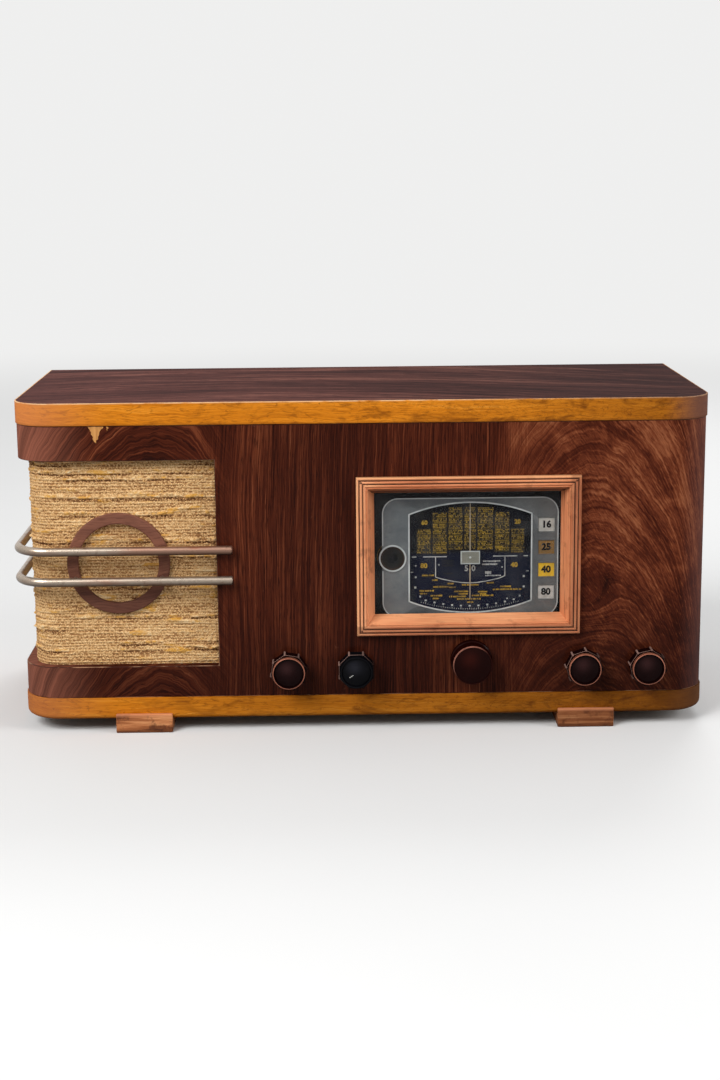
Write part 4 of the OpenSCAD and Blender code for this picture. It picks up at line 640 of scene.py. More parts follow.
def paper_pulp(name, colour):
    f = Finish(name)
    fibre = f.clouds(500, 5, 0.75, 1.2)
    base = f.stain(colour, fibre, 0.4, 0.7, 0.7, times(colour, 1.9))
    base = f.stain(base, f.clouds(40), 0.5, 0.8, 0.3, tone(96, 84, 70))
    return f.done(base, 0.92, relief=(fibre, 0.0002))


def laminations():
    """Varnished core plates, stacked along Y, with brown stains."""
    f = Finish("transformer_plates")
    lines = f.noise(f.vector(0.0, f.y * 2600.0, 0.0), 2)
    base = f.mix(f.range(lines, 0.4, 0.6), tone(40, 38, 37), tone(84, 80, 76))
    base = f.stain(base, f.clouds(60, 4, 0.6), 0.5, 0.75, 0.6, tone(96, 62, 40))
    return f.done(base, 0.5, 0.4, relief=(lines, 0.0002))


def pressed_board():
    """Hardboard with a fine felted face and stains."""
    f = Finish("pressed_hardboard")
    felt = f.clouds(900, 4, 0.7)
    colour = f.ramp(felt, tones((0.3, 92, 62, 40), (0.7, 134, 96, 64)))
    colour = f.stain(colour, f.clouds(10, 5, 0.6), 0.5, 0.75, 0.5, tone(70, 46, 30))
    return f.done(colour, 0.82, relief=(felt, 0.00012))


def valve_glass():
    """Clear bulb with a silvery getter patch on its dome."""
    f = Finish("valve_bulb_glass")
    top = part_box("valve_bulbs")[1].z
    getter = f.range(f.z, top - 26 * MM, top - 14 * MM, smooth=True)
    colour = f.mix(getter, tone(170, 178, 176), tone(110, 108, 106))
    return f.done(colour, f.between(f.clouds(60), 0.05, 0.14), Specular_IOR_Level=0.7,
                  Alpha=f.range(getter, 0.0, 1.0, 0.28, 0.95))


def cord_lay():
    """Waxed cord: a twist along its run."""
    f = Finish("waxed_cord")
    along = f.mapped((1, 0.6, 1), (0.5, 0.4, 0.6))
    twist = f.node("TexWave", {"Vector": along, "Scale": 260.0, "Distortion": 1.5}).outputs["Fac"]
    colour = f.ramp(twist, tones((0.2, 150, 126, 84), (0.8, 222, 202, 154)))
    return f.done(colour, 0.75, relief=(twist, 0.0001))


MAKERS = {
    "front_rosewood": rosewood_front,
    "top_rosewood": rosewood_top,
    "top_maple": lambda: maple("top_maple", CEILING, TOP, middle=0.0, right=0.44, wear_and_highlight=0.75,
                               near_corner=tone(206, 126, 78), far_corner=tone(108, 74, 66)),
    "low_maple": lambda: maple("low_maple", FOOT_TOP, FLOOR, middle=0.46, right=0.30, wear_and_highlight=0.0,
                               near_corner=tone(164, 98, 66), far_corner=tone(88, 54, 32)),
    "edge_wear_and_highlight": edge_wear_and_highlight,
    "inner_ply": lambda: plain_wood("inner_plywood", tone(128, 92, 60), tone(176, 136, 94), "z", 0.75),
    "board_ply": lambda: plain_wood("board_plywood", tone(110, 78, 50), tone(164, 124, 84), "x", 0.75),
    "copper_foot": foot_wood,
    "copper_frame": lambda: copper_paint("copper_frame_paint"),
    "copper_groove": lambda: copper_paint("copper_paint_groove_shade", grooves=True),
    "ring_wood": lambda: plain_wood("ring_stained_wood", tone(88, 52, 42), tone(142, 92, 72), "x", 0.62,
                                    below=tone(68, 38, 29)),
    "grille_weave": grille_weave,
    "worn_nickel": worn_nickel,
    "speaker_paint": lambda: paint("speaker_grey_paint", tone(96, 98, 96), 0.4, 0.3, tone(150, 150, 148)),
    "cone_paper": lambda: paper_pulp("cone_paper", tone(52, 48, 44)),
    "magnet_paint": lambda: paint("magnet_red_paint", tone(128, 48, 38), 0.4, 0.3, tone(120, 116, 110)),
    "transformer": laminations,
    "dial_glass": lambda: glassy("dial_pane_glass", tone(60, 64, 68), 0.05, 0.02, 0.03),
    "mask_enamel": mask_enamel,
    "hub_enamel": lambda: paint("hub_enamel", tone(168, 168, 154), 0.5, 0.1),
    "mask_line": lambda: ink("mask_light_line", tone(206, 210, 208), tone(172, 178, 178)),
    "scale_enamel": scale_enamel,
    "gold_ink": lambda: ink("gold_ink", tone(214, 172, 44), tone(124, 100, 36)),
    "gold_wash": lambda: ink("gold_wash", tone(38, 32, 19), tone(28, 25, 19)),
    "white_ink": lambda: ink("white_ink", tone(214, 214, 206), tone(140, 142, 144)),
    "dark_ink": lambda: ink("dark_ink", tone(18, 18, 20), tone(34, 33, 32)),
    "window_tints": window_tints,
    "eye_glass": eye_glass,
    "dull_brass": lambda: metal("dull_brass", tone(176, 140, 78), 0.38, spots=tone(110, 80, 44)),
    "lamp_glass": lambda: glassy("lamp_glass", tone(226, 222, 200), 0.4, 0.05, 0.1),
    "cord": cord_lay,
    "aluminium": lambda: metal("bare_aluminium", tone(196, 198, 200), 0.36, "x"),
    "plated_steel": lambda: metal("plated_steel", tone(160, 160, 154), 0.36, spots=tone(130, 124, 108)),
    # Painted shade: the plate round the mask is near black, for the dark recess behind the glass.
    "dial_backing_shade": lambda: paint("dial_backing_shade_paint", tone(17, 15, 17), 0.6, 0.02),
    "spindle_steel": lambda: metal("turned_steel", tone(172, 172, 170), 0.26, "y"),
    "pointer_paint": lambda: paint("pointer_cream_paint", tone(176, 160, 132), 0.5, 0.1),
    "brown_bakelite": lambda: bakelite("brown_bakelite", tone(18, 4, 4), tone(70, 42, 42)),
    "tuning_bakelite": lambda: bakelite("tuning_bakelite", tone(23, 3, 2), tone(66, 22, 14), 0.3),
    "black_bakelite": lambda: bakelite("black_bakelite", tone(9, 9, 12), tone(50, 50, 58)),
    "rim_copper": lambda: metal("rim_copper", tone(164, 100, 76), 0.34, metallic=0.5,
                                spots=tone(118, 68, 52)),
    # Painted highlight: the knob edges turn pale towards the upper left.
    "nub_edge": lambda: bakelite("nub_edge_wear_and_highlight", tone(30, 16, 14), tone(138, 108, 98), marks="wear_and_highlight"),
    "rim_highlight": rim_highlight,
    "control_cans": lambda: metal("control_cans", tone(150, 146, 132), 0.4),
    "phenolic": lambda: paint("phenolic_board", tone(112, 66, 36), 0.5, 0.15),
    "chassis_zinc": lambda: metal("chassis_zinc", tone(142, 144, 146), 0.42, metallic=0.9,
                                  spots=tone(120, 116, 104)),
    "rubber": lambda: paint("old_rubber", tone(34, 33, 33), 0.85, 0.3),
    "valve_glass": valve_glass,
    "hardboard": pressed_board,
}
FINISHES = {}


def finish(name):
    """Each finish is made once, when it is first asked for."""
    if name not in FINISHES:
        FINISHES[name] = MAKERS[name]()
    return FINISHES[name]


# ---------------------------------------------------------------- modelling helpers


def only(geometry, kind):
    """The items of one kind in what an operator returns."""
    return [one for one in geometry if isinstance(one, kind)]


def verts_of(edges):
    return list({v for e in edges for v in e.verts})


def push(bm, edges, x=0.0, y=0.0):
    """Extrudes edges by a straight move and returns the new edges."""
    made = bmesh.ops.extrude_edge_only(bm, edges=edges)["geom"]
    bmesh.ops.translate(bm, verts=only(made, BMVert), vec=(x, y, 0.0))
    return only(made, BMEdge)


def turn(bm, edges, centre, angle, steps, axis=(0, 0, 1), merge=False):
    """Sweeps edges round an axis and returns the last ones."""
    made = bmesh.ops.spin(bm, geom=verts_of(edges) + edges, cent=centre, axis=axis, dvec=(0, 0, 0),
                          angle=angle, space=Matrix.Identity(4), steps=steps, use_merge=merge,
                          use_normal_flip=False, use_duplicate=False)
    return only(made["geom_last"], BMEdge)


def chain(bm, points, closed=False):
    """A line of edges through the points."""
    verts = [bm.verts.new(p) for p in points]
    pairs = list(zip(verts, verts[1:])) + ([(verts[-1], verts[0])] if closed else [])
    return [bm.edges.new(pair) for pair in pairs]


def round_cabinet(bm, edges, side_stops=(), front_stops=(), steps=16):
    """Sweeps a section from the left rear edge round both corners to the right rear edge."""
    at = REAR
    for stop in (*side_stops, FRONT + CORNER):
        edges = push(bm, edges, y=stop - at)
        at = stop
    edges = turn(bm, edges, (LEFT + CORNER, FRONT + CORNER, 0), QUARTER, steps)
    at = LEFT + CORNER
    for stop in (*front_stops, RIGHT - CORNER):
        edges = push(bm, edges, x=stop - at)
        at = stop
    edges = turn(bm, edges, (RIGHT - CORNER, FRONT + CORNER, 0), QUARTER, steps)
    push(bm, edges, y=REAR - FRONT - CORNER)


def outside(point):
    """How far a point of the cabinet's plan stands outside the veneer."""
    x = max(abs(point.x) - (RIGHT - CORNER), 0.0)
    y = max(FRONT + CORNER - point.y, 0.0)
    return math.hypot(x, y) - CORNER if x or y else -CORNER


def set_material(faces, material):
    for face in faces:
        face.material_index = material


def lathe(bm, profile, x, y, z, steps=64, material=0):
    """Spins a profile of (radius, forward distance) about an axis along Y, front towards -Y."""
    before = set(bm.faces)
    edges = chain(bm, [(x + r, y - d, z) for r, d in profile])
    turn(bm, edges, (x, y, z), 2 * math.pi, steps, (0, 1, 0), merge=True)
    set_material(set(bm.faces) - before, material)


def cube(bm, place, size, material=0):
    """A box of three side lengths round the origin, moved to its place."""
    made = bmesh.ops.create_cube(bm, size=1.0, matrix=place @ Matrix.Diagonal((*size, 1)))
    set_material({face for vert in made["verts"] for face in vert.link_faces}, material)


def ribbon(bm, points, width, y, height, material=0):
    """A thin raised line through points of X and Z."""
    for (x0, z0), (x1, z1) in zip(points, points[1:]):
        length = math.hypot(x1 - x0, z1 - z0)
        turned = Matrix.Rotation(-math.atan2(z1 - z0, x1 - x0), 4, "Y")
        place = Matrix.Translation(((x0 + x1) / 2, y - height / 2, (z0 + z1) / 2)) @ turned
        cube(bm, place, (length + width * 0.3, height, width), material)


def cut(bm, point, normal, clear=False):
    """Cuts along a plane and, if asked, takes away what lies beyond it."""
    everything = bm.verts[:] + bm.edges[:] + bm.faces[:]
    bmesh.ops.bisect_plane(bm, geom=everything, dist=PRINT_WELD, plane_co=point, plane_no=normal,
                           clear_outer=clear)


def cap_holes(bm):
    made = bmesh.ops.holes_fill(bm, edges=[e for e in bm.edges if e.is_boundary], sides=0)
    set_material(made["faces"], 0)


def tidy(bm, gap=WELD):
    bmesh.ops.remove_doubles(bm, verts=bm.verts, dist=gap)
    bmesh.ops.recalc_face_normals(bm, faces=bm.faces)


def face_out(bm, front):
    """Turns all faces over if one on the front looks inwards."""
    if front.normal.y > 0:
        bmesh.ops.reverse_faces(bm, faces=bm.faces)


def soften(bm, edges, width, segments=3):
    bmesh.ops.bevel(bm, geom=edges, offset=width, offset_type="OFFSET", affect="EDGES", segments=segments,
                    profile=0.5, material=-1, clamp_overlap=True)


def sharp_edges(bm, degrees):
    limit = math.radians(degrees)
    return [e for e in bm.edges if len(e.link_faces) == 2 and e.calc_face_angle(0.0) > limit]


def take_in(bm, mesh, material=0):
    """Adds a spare mesh and drops it."""
    before = set(bm.faces)
    bm.from_mesh(mesh)
    bpy.data.meshes.remove(mesh)
    if material:
        set_material(set(bm.faces) - before, material)


def join(bm, part):
    """Adds another bmesh and frees it."""
    spare = bpy.data.meshes.new("spare")
    part.to_mesh(spare)
    part.free()
    take_in(bm, spare)


def add_object(name, data):
    """A new object at the origin, linked to the scene."""
    made = bpy.data.objects.new(name, data)
    bpy.context.scene.collection.objects.link(made)
    return made


def piece(bm, name, body, finishes, replaced=(), smooth_to=35.0, even=True):
    """Turns a bmesh into a finished piece that rides on a body."""
    mesh = bpy.data.meshes.new(name)
    bm.to_mesh(mesh)
    bm.free()
    made = add_object(name, mesh)
    for one in finishes:
        mesh.materials.append(finish(one))
    mesh.shade_smooth()
    mesh.set_sharp_from_angle(angle=math.radians(smooth_to))
    if even:
        made.modifiers.new("even_shading", "WEIGHTED_NORMAL").keep_sharp = True
    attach(made, body)
    if replaced:
        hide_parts(*replaced)
    return made


# ---------------------------------------------------------------- properties


class RADIO_PG_woodwork(bpy.types.PropertyGroup):
    edge_round: FloatProperty(name="Edge rounding", default=0.6 * MM, unit="LENGTH",
                              description="Rounding of veneered edges")
    band_round: FloatProperty(name="Band rounding", default=4.5 * MM, unit="LENGTH",
                              description="Rounding of the lower band's lower edge")
    foot_round: FloatProperty(name="Foot rounding", default=1.0 * MM, unit="LENGTH",
                              description="Rounding of the feet")


class RADIO_PG_grille(bpy.types.PropertyGroup):
    thread: FloatProperty(name="Mesh step", default=1.25 * MM, unit="LENGTH",
                          description="Distance between the cloth's upright mesh lines")
    weft: FloatProperty(name="Row step", default=0.66 * MM, unit="LENGTH",
                        description="Distance between the cloth's level mesh lines")
    row_pitch: FloatProperty(name="Row pitch", default=2.7 * MM, unit="LENGTH",
                             description="Distance from one woven row to the next")
    relief: FloatProperty(name="Relief", default=0.7 * MM, unit="LENGTH",
                          description="Height of the woven rows")
    nubs: FloatProperty(name="Nubs", default=1.7 * MM, unit="LENGTH",
                        description="Height of the looped nubs in the thick rows")
    seed: IntProperty(name="Seed", default=5, description="Starts the slubs")


class RADIO_PG_dial(bpy.types.PropertyGroup):
    line_width: FloatProperty(name="Line width", default=0.9 * MM, unit="LENGTH",
                              description="Width of the light line round the mask")
    print_height: FloatProperty(name="Print height", default=0.06 * MM, unit="LENGTH",
                                description="How far printed marks stand out")
    seed: IntProperty(name="Seed", default=11, description="Starts the printed dashes")


class RADIO_PG_studio(bpy.types.PropertyGroup):
    floor_colour: FloatVectorProperty(name="Floor", default=(0.80, 0.80, 0.795), subtype="COLOR",
                                      description="Colour of the floor")
    floor_bounce: FloatProperty(name="Floor bounce", default=0.3,
                                description="How much light the floor sends back to the radio")
    key_power: FloatProperty(name="Key light", default=66.0, unit="POWER",
                             description="Power of the large lamp at the upper left")
    sky: FloatProperty(name="Sky", default=0.34, description="Strength of the even light from all round")


# ---------------------------------------------------------------- pieces


class RADIO_OT_veneered_wall(bpy.types.Operator):
    """Bent front and sides, with the speaker cut-out and the dial opening"""

    bl_idname = "radio.veneered_wall"
    bl_label = "Veneered wall"

    def execute(self, context):
        rim = 6.8 * MM
        left, right = DIAL_LOW.x + rim, DIAL_HIGH.x - rim
        lower, upper = DIAL_LOW.z + rim, DIAL_HIGH.z - rim
        bm = bmesh.new()
        levels = sorted((FLOOR, CUT_LOW, lower, upper, CUT_HIGH, CEILING))
        round_cabinet(bm, chain(bm, [(LEFT, REAR, z) for z in levels]), (CUT_Y,), (CUT_X, left, right), 20)
        tidy(bm)
        gone = []
        for face in bm.faces:
            c = face.calc_center_median()
            grille = c.x < CUT_X and c.y < CUT_Y and CUT_LOW < c.z < CUT_HIGH
            window = left < c.x < right and c.y < FRONT + MM and lower < c.z < upper
            if grille or window:
                gone.append(face)
        bmesh.ops.delete(bm, geom=gone, context="FACES")
        face_out(bm, next(f for f in bm.faces if abs(f.calc_center_median().y - FRONT) < MM))
        finishes = ("front_rosewood", "inner_ply", "front_rosewood", "edge_wear_and_highlight")
        wall = piece(bm, "veneered_wall", "cabinet", finishes, ("front_panel",), even=False)
        thick = wall.modifiers.new("board", "SOLIDIFY")
        thick.thickness, thick.offset, thick.use_even_offset = WALL, -1, True
        thick.material_offset, thick.material_offset_rim = 1, 2
        edge = wall.modifiers.new("soft_edges", "BEVEL")
        edge.width, edge.segments, edge.limit_method = context.scene.radio_woodwork.edge_round, 3, "ANGLE"
        edge.angle_limit, edge.material = math.radians(50), 3
        wall.modifiers.new("even_shading", "WEIGHTED_NORMAL").keep_sharp = True
        return {"FINISHED"}


class RADIO_OT_top(bpy.types.Operator):
    """Top board and the thin band round it"""

    bl_idname = "radio.top"
    bl_label = "Top"

    def execute(self, context):
        soft = context.scene.radio_woodwork.edge_round
        inner, outer = LEFT + 0.2 * MM, LEFT - PROUD
        bm = bmesh.new()
        round_cabinet(bm, chain(bm, [(inner, REAR, CEILING), (inner, REAR, TOP)]))
        bmesh.ops.contextual_create(bm, geom=[v for v in bm.verts if abs(v.co.y - REAR) < MM / 10])
        cap_holes(bm)
        tidy(bm)
        upper = [e for e in sharp_edges(bm, 60) if min(v.co.z for v in e.verts) > TOP - MM / 10]
        soften(bm, upper, soft * 0.6)
        piece(bm, "top_board_veneer", "cabinet", ("top_rosewood",), ("top_board",))
        bm = bmesh.new()
        section = [(inner, REAR, CEILING), (outer, REAR, CEILING), (outer, REAR, TOP), (inner, REAR, TOP)]
        round_cabinet(bm, chain(bm, section, True))
        cap_holes(bm)
        tidy(bm)
        rims = [e for e in sharp_edges(bm, 60) if all(outside(v.co) > PROUD * 0.5 for v in e.verts)]
        soften(bm, rims, soft * 0.9)
        piece(bm, "top_edge_band", "cabinet", ("top_maple",), ("top_band",))
        return {"FINISHED"}


class RADIO_OT_bottom(bpy.types.Operator):
    """Solid band round the bottom board, rounded below, and the four feet"""

    bl_idname = "radio.bottom"
    bl_label = "Bottom band and feet"

    def execute(self, context):
        wood = context.scene.radio_woodwork
        inner, outer = LEFT + 5 * MM, LEFT - PROUD
        r = wood.band_round
        angles = [math.pi / 12 * i for i in range(7)]
        arc = [(outer + r - r * math.sin(a), REAR, FOOT_TOP + r - r * math.cos(a)) for a in angles]
        bm = bmesh.new()
        section = [(inner, REAR, FOOT_TOP), *arc, (outer, REAR, FLOOR), (inner, REAR, FLOOR)]
        round_cabinet(bm, chain(bm, section, True))
        cap_holes(bm)
        tidy(bm)
        upper = [e for e in sharp_edges(bm, 60)
                 if all(v.co.z > FLOOR - MM / 10 and outside(v.co) > 0 for v in e.verts)]
        soften(bm, upper, wood.edge_round * 0.5, 2)
        piece(bm, "bottom_edge_band", "cabinet", ("low_maple",), ("bottom_band",))
        bm = bmesh.new()
        low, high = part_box("feet")
        width, depth, lip = 51 * MM, 44 * MM, FRONT - PROUD
        front_foot = [(lip + depth, 0), (low.y, 0), (low.y, high.z), (lip, high.z), (lip, FOOT_TOP),
                      (lip + depth, FOOT_TOP)]
        rear_foot = [(REAR, 0), (REAR - depth, 0), (REAR - depth, FOOT_TOP), (REAR, FOOT_TOP)]
        for middle in (-200 * MM, 200 * MM):
            for outline in (front_foot, rear_foot):
                push(bm, chain(bm, [(middle - width / 2, y, z) for y, z in outline], True), x=width)
        cap_holes(bm)
        tidy(bm)
        soften(bm, sharp_edges(bm, 60), wood.foot_round)
        piece(bm, "feet_blocks", "cabinet", ("copper_foot",), ("feet",))
        return {"FINISHED"}


class RADIO_OT_grille_cloth(bpy.types.Operator):
    """Looped cloth stretched round the corner, with its rows and slubs in the mesh"""

    bl_idname = "radio.grille_cloth"
    bl_label = "Grille cloth"

    def execute(self, context):
        made = context.scene.radio_grille
        low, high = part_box("grille_cloth")
        lift = 0.02 * MM
        left, front = LEFT + WALL - lift, FRONT + WALL - lift
        side, flat = high.y - (FRONT + CORNER), high.x - (LEFT + CORNER)
        bend = (CORNER - WALL + lift) * QUARTER
        tall = high.z - low.z
        rows = round(tall / made.weft)
        bm = bmesh.new()
        edges = chain(bm, [(left, high.y, low.z + tall * i / rows) for i in range(rows + 1)])
        count = round(side / made.thread)
        for _ in range(count):
            edges = push(bm, edges, y=-side / count)
        edges = turn(bm, edges, (LEFT + CORNER, FRONT + CORNER, 0), QUARTER, round(bend / made.thread))
        count = round(flat / made.thread)
        for _ in range(count):
            edges = push(bm, edges, x=flat / count)
        tidy(bm)
        middle = Vector((RING_X, front, AXIS_Z))
        face_out(bm, min(bm.faces, key=lambda f: (f.calc_center_median() - middle).length))
        bm.normal_update()
        self.weave(bm, made, low.z, high.z, front)
        cloth = piece(bm, "grille_cloth_weave", "cabinet", ("grille_weave",),
                      ("grille_cloth",), 180.0, False)
        return {"FINISHED"}

    def weave(self, bm, made, low, high, front):
        """Lifts the mesh into rows and nubs, and writes two attributes for the weave's colours, the relief
        one with painted shade and shadow in it.
        """
        shift = Vector((made.seed * 1.7, made.seed * 0.6, made.seed * 2.3))
        rng = random.Random(made.seed)
        # The thick rows, each with its height, half width and where it starts to swell
        thick, z = [], low
        while z < high:
            z += rng.uniform(6, 16) * MM
            thick.append((z, rng.uniform(0.8, 1.6) * MM, rng.uniform(-40, 40)))

        def drift(x, y, z):
            return noise.noise(Vector((x, y, z)) + shift)

        relief_layer = bm.verts.layers.float.new("relief")
        nub_layer = bm.verts.layers.float.new("nubs")
        for vert in bm.verts:
            p = vert.co.copy()
            run = p.x - (p.y - front)
            slow = drift(run * 18, 0.0, p.z * 60)
            phase = (p.z + slow * 0.0011) / made.row_pitch
            row = math.floor(phase)
            swell = drift(run * 26, row * 7.31, 0.0)
            rib = 0.5 - 0.5 * math.cos(2 * math.pi * (phase - row))
            loop = drift(run * 420, row * 3.7, p.z * 520)
            height = rib * (0.85 + 0.5 * swell) + 0.30 * loop
            nub = shadow = 0.0
            wave = drift(run * 75, 4.0, p.z * 40)
            for middle, width, start in thick:
                off = (p.z + slow * 0.0018 + wave * 0.0016 - middle) / width
                if abs(off) < 3.4:
                    there = max(0.0, min(1.0, drift(run * 17 + start, middle * 900, 0.0) * 3.0 + 0.6))
                    bump = drift(run * 300, middle * 70, p.z * 160)
                    nub += there * math.exp(-off * off * 1.6) * (0.55 + 2.0 * max(-0.25, bump))
                    shadow += there * math.exp(-(off + 2.1) ** 2 * 1.5)
            slub = max(0.0, drift(run * 30, 9.0, p.z * 190) - 0.22) * 2.2
            nub = max(nub, slub)
            # Painted shade and shadow: the relief value is low in the hollows between rows and under each
            # thick row.
            vert[relief_layer] = min(1.0, max(0.0, 0.33 + 0.27 * height + 0.30 * nub - 0.34 * shadow))
            vert[nub_layer] = min(1.0, nub)
            # The relief starts a little inside the opening of the wall
            inside = min(p.z - CUT_LOW, CUT_HIGH - p.z, CUT_X - p.x, CUT_Y - p.y) - 0.6 * MM
            share = min(1.0, max(0.0, inside / (1.4 * MM)))
            vert.co = p + vert.normal * (max(0.0, height + 0.25) * made.relief + nub * made.nubs) * share


class RADIO_OT_grille_trim(bpy.types.Operator):
    """Wooden ring on the cloth and the two bent rails over it"""

    bl_idname = "radio.grille_trim"
    bl_label = "Ring and rails"

    def execute(self, context):
        bm = bmesh.new()
        inner, outer, thick, soft = 36 * MM, 46 * MM, 5 * MM, 1.2 * MM
        angles = [math.pi / 8 * i for i in range(5)]
        corner = [(soft * (1 - math.cos(a)), soft * (1 - math.sin(a))) for a in angles]
        profile = [(inner, 0), *((inner + u, thick - v) for u, v in corner),
                   *((outer - u, thick - v) for u, v in reversed(corner)), (outer, 0), (inner, 0)]
        lathe(bm, profile, RING_X, CLOTH_Y, AXIS_Z, 96)
        tidy(bm)
        piece(bm, "grille_ring_trim", "cabinet", ("ring_wood",), ("grille_ring",))
        for name in ("upper_bar", "lower_bar"):
            low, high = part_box(name)
            r, bend, edge = (high.z - low.z) / 2, 30 * MM, 0.8 * MM
            x, y, z = low.x + r, low.y + r, (low.z + high.z) / 2
            bm = bmesh.new()
            place = Matrix.Translation((high.x, y, z)) @ Matrix.Rotation(QUARTER, 4, "Y")
            made = bmesh.ops.create_circle(bm, cap_ends=False, radius=r - edge, segments=28, matrix=place)
            edges = list({e for v in made["verts"] for e in v.link_edges})
            # Each end is chamfered
            edges = push(bm, edges, x=-edge)
            grown = r / (r - edge)
            self.scale_ring(bm, edges, (high.x - edge, y, z), (1, grown, grown))
            edges = push(bm, edges, x=x + bend - (high.x - edge))
            edges = turn(bm, edges, (x + bend, y + bend, 0), -QUARTER, 18)
            edges = push(bm, edges, y=high.y - edge - (y + bend))
            edges = push(bm, edges, y=edge)
            self.scale_ring(bm, edges, (x, high.y, z), (1 / grown, 1, 1 / grown))
            cap_holes(bm)
            tidy(bm)
            piece(bm, name.replace("bar", "rail"), "cabinet", ("worn_nickel",), (name,))
        return {"FINISHED"}

    def scale_ring(self, bm, edges, centre, scale):
        bmesh.ops.scale(bm, verts=verts_of(edges), vec=scale, space=Matrix.Translation(-Vector(centre)))


class RADIO_OT_dial_frame(bpy.types.Operator):
    """Mitred moulding with three beads and a sloping reveal"""

    bl_idname = "radio.dial_frame"
    bl_label = "Dial frame"

    def execute(self, context):
        proud, bead, reach = 6 * MM, 1.15 * MM, 11 * MM
        zone, slope, tongue = 9.3 * MM, 7 * MM, 7 * MM
        base = proud - bead
        pitch = (zone - 0.6 * MM - 2 * bead) / 2
        # The section, as distances inwards and forwards, and the grooves between its beads
        section, grooves = [(0.0, 0.0)], []
        for i in range(3):
            middle = bead + i * pitch
            if i:
                grooves.append((section[-1][0] + middle - bead) / 2)
            for k in range(9):
                a = math.pi * (1 - k / 8)
                section.append((middle + bead * math.cos(a), base + bead * math.sin(a)))
        section += [(zone, base - 0.3 * MM), (zone + 0.5 * MM, base + 0.4 * MM)]
        section += [(zone + slope, -reach), (tongue, -reach), (tongue, 0.0)]
        bm = bmesh.new()
        middle = (DIAL_LOW + DIAL_HIGH) / 2
        width, height = DIAL_HIGH.x - DIAL_LOW.x, DIAL_HIGH.z - DIAL_LOW.z
        gap = 0.06 * MM
        for quarter in range(4):
            length, across = (height, width) if quarter % 2 else (width, height)
            part = bmesh.new()
            outline = [(-length / 2 - MM, -forward, -inward) for inward, forward in section]
            push(part, chain(part, outline, True), x=length + 2 * MM)
            for face in part.faces:
                c = face.calc_center_median()
                if c.y < 0 and any(abs(-c.z - groove) < 0.62 * MM for groove in grooves):
                    face.material_index = 1
            for side in (-1, 1):
                cut(part, (side * (length / 2 - gap), 0, 0), (side, 0, -1), clear=True)
                cap_holes(part)
            tidy(part)
            turned = Matrix.Rotation(-QUARTER * quarter, 4, "Y")
            place = Matrix.Translation((middle.x, FRONT, middle.z)) @ turned
            place = place @ Matrix.Translation((0, 0, across / 2))
            bmesh.ops.transform(part, verts=part.verts, matrix=place)
            join(bm, part)
        piece(bm, "dial_moulding", "cabinet", ("copper_frame", "copper_groove"),
              ("dial_frame",), 50.0)
        bm = bmesh.new()
        inset = 4.4 * MM
        left, right, top = DIAL_LOW.x + inset, DIAL_HIGH.x - inset, DIAL_HIGH.z - inset
        pin = [(0, proud + 0.05 * MM), (0.9 * MM, proud), (1.1 * MM, base), (0, base)]
        for x, z in ((left, top), (right, top), (left, DIAL_LOW.z + inset)):
            lathe(bm, pin, x, FRONT, z, 16)
        tidy(bm)
        piece(bm, "dial_moulding_pins", "cabinet", ("copper_groove",))
        return {"FINISHED"}


def arc_points(x, z, r, start, end, count):
    angles = [math.radians(start + (end - start) * i / count) for i in range(count + 1)]
    return [(x + r * math.cos(a), z + r * math.sin(a)) for a in angles]


def scale_edge():
    """Outline of the scale opening, from its upper left corner."""
    r, spread = SCALE_RADIUS * MM, math.degrees(math.asin(SCALE_HALF / SCALE_RADIUS))
    centre = (SCALE_APEX - SCALE_RADIUS) * MM
    upper = arc_points(AXIS_X, AXIS_Z + centre, r, 90 + spread, 90 - spread, 24)
    lower = arc_points(AXIS_X, AXIS_Z - centre, r, 270 + spread, 270 - spread, 24)
    return [*upper, *lower, upper[0]]


def numeral(text, size, x, z, y, height, bold):
    """A plain number, laid flat against the dial, as a mesh in place."""
    curve = bpy.data.curves.new("numeral_" + text, "FONT")
    curve.body, curve.size, curve.extrude, curve.offset = text, size, height / 2, bold
    curve.align_x, curve.align_y = "CENTER", "CENTER"
    curve.resolution_u = 3
    holder = bpy.data.objects.new("numeral_holder", curve)
    mesh = bpy.data.meshes.new_from_object(holder)
    mesh.transform(Matrix.Translation((x, y - height / 2, z)) @ Matrix.Rotation(QUARTER, 4, "X"))
    bpy.data.objects.remove(holder)
    bpy.data.curves.remove(curve)
    return mesh


